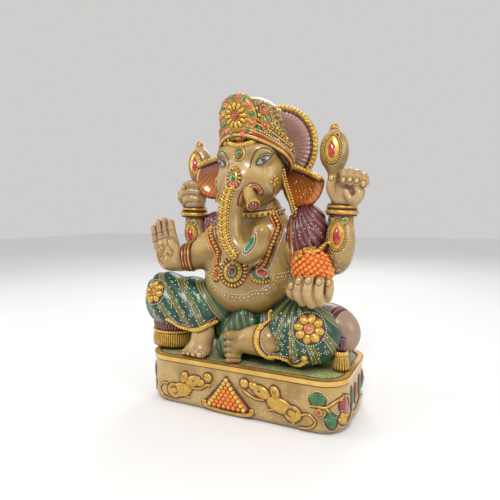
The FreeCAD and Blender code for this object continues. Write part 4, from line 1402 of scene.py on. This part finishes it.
tall = Skin(crown)
trim = Trim(stack_of("gold", "line", "yellow", "red", "rose", "green", "white", "dark_red", "copper",
                     "orange"))
crest = Chart(tall, (2, -42, 269), (0, -0.96, 0.27))
trim.cushion(crest, oval(18.4, 19.6, count=44), 0.6, "line", edge=0.9)
trim.cushion(crest, oval(17.6, 18.8, count=44), 1.0, "gold", edge=0.9)
for outline in petals(12, 7.2, 3.3, 1.85):
    trim.cushion(crest, outline, 2.6, "gold", lift=0.6)
for outline in petals(12, 7.2, 1.8, 0.7):
    trim.cushion(crest, outline, 2.9, "yellow", lift=0.8)
beaded(trim, crest, (0, 0), (4.6, 4.6), size=0.9, material="yellow")
gem(trim, crest, (0, 0), (2.7, 2.7), "red", height=3.8)
GEMS = ("green", "rose", "green", "rose", "green", "red", "green", "rose", "green", "rose", "green", "rose",
        "green", "rose")
for k, tone in enumerate(GEMS):
    angle = -158 + 316 * k / (len(GEMS) - 1)
    t = math.radians(angle)
    gem(trim, crest, (14.2 * math.sin(t), 15.4 * math.cos(t)), (1.7, 2.4), tone, -angle, 0.3, height=2.6)
    if k < len(GEMS) - 1:
        t = math.radians(angle + 158 / (len(GEMS) - 1))
        point, normal = crest.at(18.3 * math.sin(t), 19.6 * math.cos(t))
        trim.bead(point, normal, 1.5, "gold", height=2.2, sides=10)
beaded(trim, crest, (0, 0), (10.8, 11.6), size=0.75, material="gold")


def crown_edge(lift, low, high, count=90):
    """Points round the crown's lower edge, a height above it."""
    found = []
    for turn in np.linspace(low, high, count):
        a = math.radians(turn)
        out = np.array((math.sin(a), -math.cos(a), 0))
        place = np.array((6, -10, 0)) + out * 33
        for _ in range(4):
            rise = (place[0] - CROWN_EDGE[0]) * CROWN_TILT[0] - (place[1] - CROWN_EDGE[1]) * CROWN_TILT[1]
            place[2] = CROWN_EDGE[2] + rise + lift
            hit = tall.drop(place + out * 30, -out, 60)
            if not hit:
                break
            place = hit[0].copy()
        if hit:
            found.append(hit)
    return np.array([f[0] for f in found]), np.array([f[1] for f in found])


for lift, width, tone in ((1.6, 1.7, "gold"), (4.6, 0.9, "red"), (6.8, 1.2, "gold"), (14.0, 1.0, "gold")):
    found = crown_edge(lift, -150, 150)
    trim.outlined(*found, width, width * 1.1, tone, "line", line_width=0.4)
found = crown_edge(1.6, -150, 150)
trim.beads(*every((found[0] + smoothed(found[1]) * 0.9, found[1]), 2.6), 1.25, "yellow", height=1.3, sides=8)
found = crown_edge(9.4, -150, 150)
trim.beads(*every(found, 2.2), 0.8, "white", height=0.8, sides=6)
found = crown_edge(17.2, -150, 150)
trim.beads(*every(found, 3.4), 1.3, "gold", height=1.5, sides=8)
for turn in np.arange(28, 100, 11):
    for lift, tone in ((11.2, "green"), (21.5, "yellow")):
        found = crown_edge(lift, turn, turn + 1, 2)
        trim.bead(found[0][0], found[1][0], 1.6, "gold" if tone == "green" and turn % 2 else tone,
                  height=1.5, sides=10)
for side in (-1, 1):
    lobe = Chart(tall, (3 + side * 22, -32, 267), (side * 0.7, -0.7, 0.2))
    for centre, tone, half in (((0, 7), "rose", (2.6, 2.6)), ((1, 0), "green", (2.4, 2.8)),
                               ((-1.5, -7), "red", (2.4, 3.4))):
        gem(trim, lobe, centre, half, tone, side * 15, 0.3, height=2.4)
    beaded(trim, lobe, (0, 0), (5.4, 12.4), side * 6, 0.2, 1.1)
for turn in np.arange(-180, 180, 20):
    a = math.radians(turn)
    out = np.array((math.sin(a) * 0.8, -math.cos(a) * 0.8, 0.6))
    hit = tall.drop(np.array((9, -8, 262)) + out * 60, -out, 60)
    if hit and abs(turn) > 40:
        trim.bead(*hit, 2.0, "copper" if turn % 40 else "yellow", height=2.2, sides=10)
settle(trim.build("crown_work"), "gold_paint", "headband", "crown_gems")

trim = Trim(stack_of("gold", "line", "yellow", "violet"))
disc = Skin(halo)
RIM_SHARE = 0.965  # where the bead ring runs, as a share of the halo's radius
turns = np.linspace(0, 2 * math.pi, 30, endpoint=False)
ring = [HALO + (41.5 * RIM_SHARE * math.cos(t), 0, 40.5 * RIM_SHARE * math.sin(t)) for t in turns]
points, normals = path_on(disc, ring, (0, -1, 0), 1.0, True)
trim.ribbon(points, normals, 2.9, 1.0, "gold", True)
trim.beads(*every((points + (0, -0.8, 0), normals), 4.3, True), 2.2, "yellow", height=2.2, sides=10)
inner = [HALO + (36.6 * math.cos(t), 0, 35.6 * math.sin(t)) for t in np.linspace(0, 2 * math.pi, 26)]
points, normals = path_on(disc, inner, (0, -1, 0), 1.0)
trim.ribbon(points, normals, 1.0, 0.9, "line")
back = [HALO + (33 * math.cos(t), 0, 32 * math.sin(t)) for t in np.linspace(0, 2 * math.pi, 26)]
points, normals = path_on(disc, back, (0, 1, 0), 1.0)
trim.outlined(points, normals, 1.6, 1.4, "gold", "line")
rear = Chart(disc, HALO + (0, 8, 0), (0, 1, 0))
for outline in petals(12, 17, 7, 3.6):
    trim.cushion(rear, outline, 1.6, "gold")
trim.cushion(rear, oval(7, 7, count=24), 2.2, "yellow")
settle(trim.build("halo_rim"), "gold_paint")

# ---- ear edges and ear chains ----------------------------------------------------------------

shells = Skin(left_ear, right_ear, head)
trim = Trim(stack_of("gold", "line", "yellow", "white", "copper", "dark_red"))


def ear_edge(shell, low, high, top, slope):
    """The scalloped gold band along an ear's top edge, with a dark line under it."""
    skin = Skin(shell)
    out = unit((0, -0.85, 0.5))
    path = []
    for x in np.linspace(low, high, 50):
        z = top[1] + (x - top[0]) * slope
        hit = skin.drop((x, -50, z - 2.2), (0, 1, 0), 80)
        if hit:
            path.append((x, hit[0][1] - 0.4, z))
    path = spaced(spline(np.array(path)[::6], 8), 0.9)
    outs = np.repeat([out], len(path), 0)
    trim.ribbon(path, outs, 2.3, 2.2, "gold")
    trim.ribbon(path - (0, 0, 2.8), outs, 1.2, 1.7, "line")
    trim.beads(*every((path + out * 1.6, outs), 3.3), 1.6, "yellow", height=1.7, sides=10)


ear_edge(left_ear, 30, 71, (48, 225), -0.46)
ear_edge(right_ear, -63, -26, (-46, 237), 0.34)
for points in ([(34, -18, 224), (36, -17, 214), (39, -16, 204), (42, -15, 194), (44, -14, 186)],
               [(-26, -20, 224), (-28, -20, 214), (-31, -19, 204), (-33, -18, 196)]):
    path = spaced(spline(points, 8), 0.8)
    out = np.repeat([unit((0, -1, 0.1))], len(path), 0)
    trim.outlined(path, out, 1.5, 1.7, "gold", "line")
    trim.beads(*every((path + (2.6, -0.6, 0), out), 2.5), 1.1, "yellow", height=1.2, sides=8)
shell_chart = Chart(shells, (50, -10, 212), (0, -1, 0))
for k in range(26):
    sprinkle(trim, shell_chart, [(rng.uniform(-9, 15), rng.uniform(-14, 14))], radius=0.5)
settle(trim.build("ear_edges"), "gold_paint")

# ---- face ------------------------------------------------------------------------------------

VIEW = unit((0.44, -0.9, -0.04))
face = Skin(head)
trim = Trim(stack_of("gold", "line", "yellow", "green", "white", "black", "eye", "iris", "copper", "rose",
                     "orange"))
for side in (-1, 1):
    outward = (side * 0.42, -0.9, 0.1)
    eye = Chart(face, (4 + side * 20, -36, 231), outward)
    almond = np.array([(-6.0, -3.2), (-3.6, -3.6), (-0.6, -3.2), (2, -1.8), (4.6, 0.6), (6.6, 3.6),
                       (3.2, 3.9), (0, 3.2),
                       (-3.4, 0.8)]) * (side, 1)
    lids = spline(almond, 5, closed=True)
    trim.cushion(eye, lids, 0.9, "eye", edge=0.5)
    trim.cushion(eye, oval(2.7, 2.9, (side * 0.4, 0.3), 24), 1.1, "iris", lift=0.1)
    trim.cushion(eye, oval(1.5, 1.6, (side * 0.4, 0.3), 20), 1.5, "black", lift=0.1)
    # Painted highlight: a white glint on the pupil.
    trim.bead(*eye.at(side * 1.0, 1.1), 0.6, "white", height=1.9)
    points, normals = eye.lay(spaced(lids, 0.6, closed=True))
    trim.ribbon(points, normals, 0.5, 1.0, "black", closed=True)
    for guides, width in (([(-6.6, -1.4), (-3.4, 3.2), (0.6, 5.6), (5.0, 6.2), (8.4, 5.4)], 0.32),
                          ([(5.4, 2.6), (8.8, 5.4)], 0.35)):
        found = eye.lay(spaced(spline(np.array(guides) * (side, 1), 8), 0.6))
        trim.ribbon(*found, width, 0.3, "black")
    brow = eye.lay(spaced(spline(np.array([(-11.5, -6.5), (-10.4, -1), (-8.4, 4.5), (-5, 8.6), (0, 10.4),
                                           (5, 9.6), (10, 6.5)]) * (side, 1), 8), 0.6))
    trim.ribbon(*brow, 0.55, 0.4, "black")
    for k in range(9):
        fan = k * 0.7
        look = (side * 0.6, -0.8, 0)
        strand = [(4 + side * (27.6 + 0.3 * fan), -27 + 0.6 * fan, 238 - 0.2 * fan),
                  (4 + side * (31 + 0.35 * fan), -18 + 0.8 * fan, 230),
                  (4 + side * (28.5 + 0.3 * fan), -17 + 0.9 * fan, 221 - fan)]
        trim.ribbon(*path_on(face, strand, look, 0.8), 0.62, 0.55, "black")
    cheek = Chart(face, (3.5 + side * 24.5, -26, 214), (side * 0.7, -0.7, 0))
    for outline in petals(6, 3.4, 2.1, 1.3):
        trim.cushion(cheek, outline, 1.2, "gold")
    trim.cushion(cheek, oval(1.4, 1.4), 1.6, "gold")
    found = cheek.lay(spaced(spline(np.array([(0, -5), (2, -9), (0, -13)]) * (side, 1), 8), 0.7))
    trim.outlined(*found, 0.7, 0.9, "copper", "line", line_width=0.3)
    dots = cheek.lay(spaced(spline(np.array([(-8, 16), (-9, 6), (-7, -4), (-2, -10)]) * (side, 1), 8), 1.8))
    trim.beads(*dots, 0.42, "white", sides=6)

brow_chart = Chart(face, (3, -42, 238), (0, -1, 0.1))
band = path_on(face,
               [(-16, -34, 250), (-7, -40, 247.5), (1, -42, 244.8), (8, -42, 244.6), (16, -41, 246.5),
                (23, -40, 249.5)], VIEW, 0.8)
trim.ribbon(band[0] - (0, 0, 2.6), band[1], 1.0, 1.2, "line")
trim.ribbon(*band, 2.0, 2.6, "gold")
trim.beads(*every((band[0] + smoothed(band[1]) * 1.8, band[1]), 2.3), 1.3, "yellow", height=1.4, sides=8)
field = path_on(face, [(-8, -40, 251), (1, -42, 249), (9, -42, 248.8), (17, -40, 250.5)], VIEW, 0.8)
trim.ribbon(*field, 2.2, 1.0, "orange")
gem(trim, brow_chart, (0.5, 0.2), (2.7, 3.7), "green", height=3.0)
trim.ribbon(*brow_chart.lay(oval(5.0, 6.0, (0.5, -0.4), 40)), 1.0, 1.4, "gold", closed=True)
points, normals = brow_chart.lay(oval(7.2, 8.4, (0.5, -0.6), 34))
trim.beads(points, normals, 0.42, "white", sides=6)

drop = Chart(face, (1.5, -44, 216), (0, -1, 0.15))
trim.cushion(drop, oval(7.0, 10.0, count=32, point=0.25), 0.6, "line", edge=0.9)
for k in range(15):
    t = 2 * math.pi * k / 15
    tone = "rose" if 6 <= k <= 9 else "gold"
    spot = (5.4 * math.sin(t) * (1 - 0.22 * max(math.cos(t), 0) ** 2), 8.2 * math.cos(t))
    trim.cushion(drop, oval(1.15, 2.1, spot, 12, -math.degrees(math.atan2(spot[0], spot[1]))), 1.8, tone)
trim.cushion(drop, oval(4.0, 6.6, count=26, point=0.35), 1.2, "gold")
gem(trim, drop, (0, -0.2), (2.5, 4.6), "green", point=0.65, rim=False, height=2.6)
points, normals = drop.lay(oval(8.6, 11.8, count=44, point=0.25))
trim.beads(points, normals, 0.42, "white", sides=6)

arch = [(6.6, -46, 192), (7.6, -46, 197), (9.8, -44, 203.5), (15.6, -42, 208.6), (21, -40, 206.6),
        (22.6, -39, 202)]
found = path_on(face, arch, VIEW, 0.7)
trim.ribbon(found[0], found[1], 3.4, 0.9, "line")
trim.ribbon(found[0], found[1], 2.7, 1.7, "copper")
for shift in (-1.1, 1.1):
    trim.ribbon(found[0] + smoothed(found[1]) * 1.2, found[1], 0.35, 0.6, "line", shift=shift)
mouth = path_on(face, [(22.6, -38, 201.2), (25.5, -36, 201.8), (28.1, -32, 203.2)], VIEW, 0.7)
trim.ribbon(*mouth, 0.45, 0.35, "line")
settle(trim.build("face_work"), "gold_paint", "brow_ornaments")

trim = Trim(stack_of("gold", "line", "dark_red", "copper"))
axis = unit((6, -6, -7))
end = np.array((22, -53, 193))
ring_round(end + axis * 1.4, axis, 5.6, 0.8, "gold", lines=False)
trim.bead(end + axis * 2.2, unit((0.5, -0.72, -0.48)), 4.3, "dark_red", height=4.0, sides=24)
settle(trim.build("tusk_ring_and_gem"), "gold_paint", "tusk_cap")

# ---- trunk braid -----------------------------------------------------------------------------

trim = Trim(stack_of("gold", "line", "yellow", "white", "green", "leaf", "copper"))
spine = path_on(face,
                [(-2.5, -54, 207), (-5, -56, 198), (-6, -57, 186), (-5.5, -58, 174), (-3.5, -59, 163),
                 (1, -60, 155),
                       (7, -60, 149)], (-0.12, -1, 0), 1.0)
points, normals = spine[0], smoothed(spine[1], passes=14)
ahead = np.gradient(points, axis=0)
ahead /= np.linalg.norm(ahead, axis=1, keepdims=True)
side = np.cross(normals, ahead)
trim.ribbon(points, normals, 5.2, 0.9, "line")
rows = every((points, normals), 2.6)
for k, (point, normal) in enumerate(zip(*rows)):
    j = min(int(k * 2.6), len(points) - 1)
    for sign in (-1, 1):
        start = point + side[j] * sign * 4.3 - ahead[j] * 2.0
        finish = point + side[j] * sign * 0.1 + ahead[j] * 1.6
        path = np.array([start, (start + finish) / 2 + normal * 0.5, finish])
        trim.ribbon(path + normal * 0.5, np.repeat([normal], 3, 0), 1.25, 1.5, "gold" if k % 2 else "yellow")
for sign in (-1, 1):
    edge = points + side * sign * 5.3
    trim.beads(*every((edge, normals), 2.5), 1.15 if sign < 0 else 1.4, "gold", height=1.3, sides=8)
    dotted(trim, (points + side * sign * 7.4, normals), 1.9, 0.45)
leaf_chart = Chart(face, (21, -58, 160), (0.1, -1, 0.1), turn=-32)
trim.cushion(leaf_chart, oval(3.6, 9.4, count=30, point=0.7), 0.6, "line", edge=0.9)
trim.cushion(leaf_chart, oval(3.0, 8.6, count=30, point=0.7), 0.8, "white", edge=0.9)
trim.cushion(leaf_chart, oval(2.5, 7.8, count=30, point=0.7), 2.2, "green")
points, normals = leaf_chart.lay(oval(4.8, 10.8, count=40, point=0.6))
trim.beads(points, normals, 0.42, "white", sides=6)
settle(trim.build("trunk_braid_and_leaf"), "gold_paint", "trunk_braid", "trunk_gem")

# ---- collar, chains and pendants -------------------------------------------------------------

front_skin = Skin(body)
trim = Trim(stack_of("gold", "line", "yellow", "red", "green", "white", "copper", "orange", "dark_red"))
neck = Skin(body, head)
ring = [neck.nearest((3 + 22 * math.cos(t), -4 - 18.5 * math.sin(t), 184 + 3 * math.cos(t) ** 2))
        for t in np.linspace(0, 2 * math.pi, 150)]
collar = np.array([r[0] for r in ring]), smoothed([r[1] for r in ring], passes=20)
trim.outlined(*collar, 2.8, 1.8, "yellow", "line", line_width=0.6)
for k, (point, normal) in enumerate(zip(*every((collar[0] + smoothed(collar[1]) * 1.2, collar[1]), 5.2))):
    trim.bead(point, normal, 1.7, ("green", "dark_red")[k % 2], height=1.6, sides=10)


def chain(points, width=2.0):
    """A beaded chain on a dark line, with a cord and a dot row on its outer side."""
    found = path_on(front_skin, points, FRONT, 0.7)
    outer = smoothed(found[1])
    ahead = np.gradient(found[0], axis=0)
    side = np.cross(outer, ahead)
    side /= np.maximum(np.linalg.norm(side, axis=1, keepdims=True), 1e-9)
    trim.ribbon(*found, width + 0.9, 0.8, "line")
    trim.beads(*every((found[0] + outer * 0.4, outer), width * 1.7), width, "gold", height=width, sides=10)
    for sign, tone in ((-1, "orange"), (1, "copper")):
        trim.ribbon(found[0] + side * sign * (width + 1.6), outer, 0.95, 1.0, tone)
        dotted(trim, (found[0] + side * sign * (width + 4.2), outer), 1.9, 0.45)


chain([(38, -22, 190), (37, -28, 178), (34, -34, 164), (30, -40, 150), (24, -44, 139)])
chain([(-42, -24, 178), (-38, -30, 166), (-32, -36, 152), (-26, -42, 138)])

sun = Chart(front_skin, (-6, -46, 132))
trim.cushion(sun, oval(14.6, 14.6, count=44), 0.6, "line", edge=0.9)
for outline in petals(24, 12.2, 2.0, 1.35):
    trim.cushion(sun, outline, 2.2, "gold")
trim.cushion(sun, oval(9.8, 9.8, count=36), 1.5, "line", edge=0.9)
trim.cushion(sun, oval(9.2, 9.2, count=36), 2.0, "gold", edge=0.8)
for outline in petals(12, 6.9, 1.5, 1.3):
    trim.cushion(sun, outline, 2.8, "yellow")
for half, tone, height in ((5.2, "line", 2.5), (4.8, "green", 2.9), (3.4, "white", 3.1),
                           (2.8, "dark_red", 3.2), (2.3, "red", 4.2)):
    trim.cushion(sun, oval(half, half * 1.12, count=28), height, tone, edge=0.9)
half_moon = Chart(front_skin, (20.5, -44, 131), turn=-8)
trim.cushion(half_moon, oval(11.4, 9.2, count=36), 0.6, "line", edge=0.9)
for k in range(13):
    t = math.radians(-112 - 14.5 * (k - 6) + 22)
    spot = (9.4 * math.cos(t + 0.2), 7.2 * math.sin(t + 0.2))
    trim.cushion(half_moon, oval(1.35, 1.9, spot, 12, math.degrees(math.atan2(-spot[0], spot[1]))), 2.0,
                 "gold")
trim.cushion(half_moon, oval(8.0, 5.9, count=32), 1.4, "green", edge=0.8)
trim.cushion(half_moon, oval(5.4, 3.6, (-0.6, 0.6), 26, -18), 2.0, "white", edge=0.9)
trim.cushion(half_moon, oval(4.8, 3.0, (-0.6, 0.6), 26, -18, 0.4), 3.0, "red")
small = Chart(front_skin, (-26, -40, 129), (-0.3, -0.95, 0))
trim.cushion(small, oval(6.4, 8.0, count=30), 0.6, "line", edge=0.9)
for outline in petals(11, 5.0, 1.9, 1.35):
    trim.cushion(small, outline, 2.0, "gold")
gem(trim, small, (0, 0.5), (2.6, 2.9), "red", height=2.8)
belly_line = path_on(front_skin,
                     [(-38, -34, 140), (-30, -40, 121), (-14, -44, 113), (4, -45, 112), (14, -46, 116),
                                  (28, -44, 117), (38, -38, 126), (41, -34, 140)], FRONT, 1.0)
dotted(trim, belly_line, 1.9, 0.45)
dotted(trim, belly_line, 3.6, 0.6, shift=-3.2)
dotted(trim, belly_line, 5.4, 0.4, shift=-6.2)
settle(trim.build("necklace"), "gold_paint", "collar", "pendants", "necklace_chains")

# ---- shawl borders and arm dots --------------------------------------------------------------

cloaks = Skin(left_shawl, right_shawl, body, mound)
trim = Trim(stack_of("gold", "line", "yellow", "white", "copper"))
for points in ([(42, -18, 186), (44, -21, 174), (45, -24, 160), (46, -27, 146), (47, -30, 134)],
               [(-34, -16, 176), (-30, -22, 166), (-28, -26, 158)]):
    found = path_on(cloaks, points, (0.2, -1, 0), 0.9)
    trim.outlined(*found, 1.9, 1.2, "copper", "line")
strip = path_on(cloaks, [(48, -40, 151), (58, -38, 154), (68, -34, 158), (78, -28, 161)], (0, -1, 0.1), 0.9)
trim.outlined(*strip, 2.8, 1.6, "gold", "line")
trim.beads(*every((strip[0] + (0, -1.2, 0), strip[1]), 4.2), 1.8, "yellow", height=1.6, sides=10)
for lows, highs, tries in (((60, -30, 128), (98, 0, 175), 70),
                                 ((38, -30, 150), (64, 0, 186), 50),
                                 ((-56, -30, 150), (-32, 0, 182), 34)):
    for k in range(tries):
        start = rng.uniform(lows, highs)
        hit = cloaks.drop((start[0], -60, start[2]), (0, 1, 0), 70)
        if hit:
            trim.bead(*hit, 0.5, "white", height=0.4, sides=6)
settle(trim.build("shawl_borders"), "gold_paint")

# ---- floor, light and camera -----------------------------------------------------------------

FLOOR_HALF = 3.0
PALE_FLOOR = [(0.3, (0.86, 0.86, 0.86)), (0.7, (0.90, 0.90, 0.90))]
AIM = (0, 0, 0.14)
LIGHTS = {  # place and size in metres, strength in watts
    "key_light": ((0.25, -0.75, 0.85), 0.3, 5.6),
    "left_light": ((-0.95, -0.45, 0.55), 0.6, 3.0),
    "right_light": ((0.95, -0.2, 0.5), 0.5, 2.4),
    "back_light": ((-0.2, 0.9, 0.9), 0.6, 4),
}
WORLD_COLOUR = (1.0, 0.99, 0.97, 1)
WORLD_STRENGTH = 0.62
CAMERA_PLACE = (0.17698, -0.38034, 0.18493)
CAMERA_YAW, CAMERA_DIP, CAMERA_ROLL = 25.76, 4.83, -0.36
FOCAL_LENGTH, SENSOR_WIDTH = 30.82, 36.0


def studio_floor():
    """A plain pale floor under the plinth."""
    mesh = bpy.data.meshes.new("studio_floor")
    corners = [(x * FLOOR_HALF, y * FLOOR_HALF, 0.0) for x, y in ((-1, -1), (1, -1), (1, 1), (-1, 1))]
    mesh.from_pydata(corners, [], [(0, 1, 2, 3)])
    p = Paint("floor_paint", 0.75, coat=0.0)
    mesh.materials.append(p.finish(p.ramp(p.noise(2, 3), PALE_FLOOR)))
    floor = bpy.data.objects.new("studio_floor", mesh)
    bpy.context.scene.collection.objects.link(floor)


def soft_light(name, place, size, watts):
    """A round soft light turned to the idol."""
    lamp = bpy.data.lights.new(name, "AREA")
    lamp.shape = "DISK"
    lamp.size, lamp.energy = size, watts
    obj = bpy.data.objects.new(name, lamp)
    obj.location = place
    obj.rotation_euler = (Vector(AIM) - Vector(place)).to_track_quat("-Z", "Y").to_euler()
    bpy.context.scene.collection.objects.link(obj)


studio_floor()
for name, (place, size, watts) in LIGHTS.items():
    soft_light(name, place, size, watts)

world = bpy.data.worlds.new("studio_world")
bpy.context.scene.world = world
world.use_nodes = True
background = world.node_tree.nodes["Background"]
background.inputs["Color"].default_value = WORLD_COLOUR
background.inputs["Strength"].default_value = WORLD_STRENGTH

lens = bpy.data.cameras.new("camera")
lens.lens, lens.sensor_width = FOCAL_LENGTH, SENSOR_WIDTH
lens.clip_start = 0.01
camera = bpy.data.objects.new("camera", lens)
yaw, pitch, roll = (Matrix.Rotation(math.radians(a), 4, axis)
                    for a, axis in ((CAMERA_YAW, "Z"), (90 - CAMERA_DIP, "X"), (CAMERA_ROLL, "Z")))
camera.matrix_world = Matrix.Translation(CAMERA_PLACE) @ yaw @ pitch @ roll
bpy.context.scene.collection.objects.link(camera)
bpy.context.scene.camera = camera
bpy.context.scene.view_settings.view_transform = "Standard"
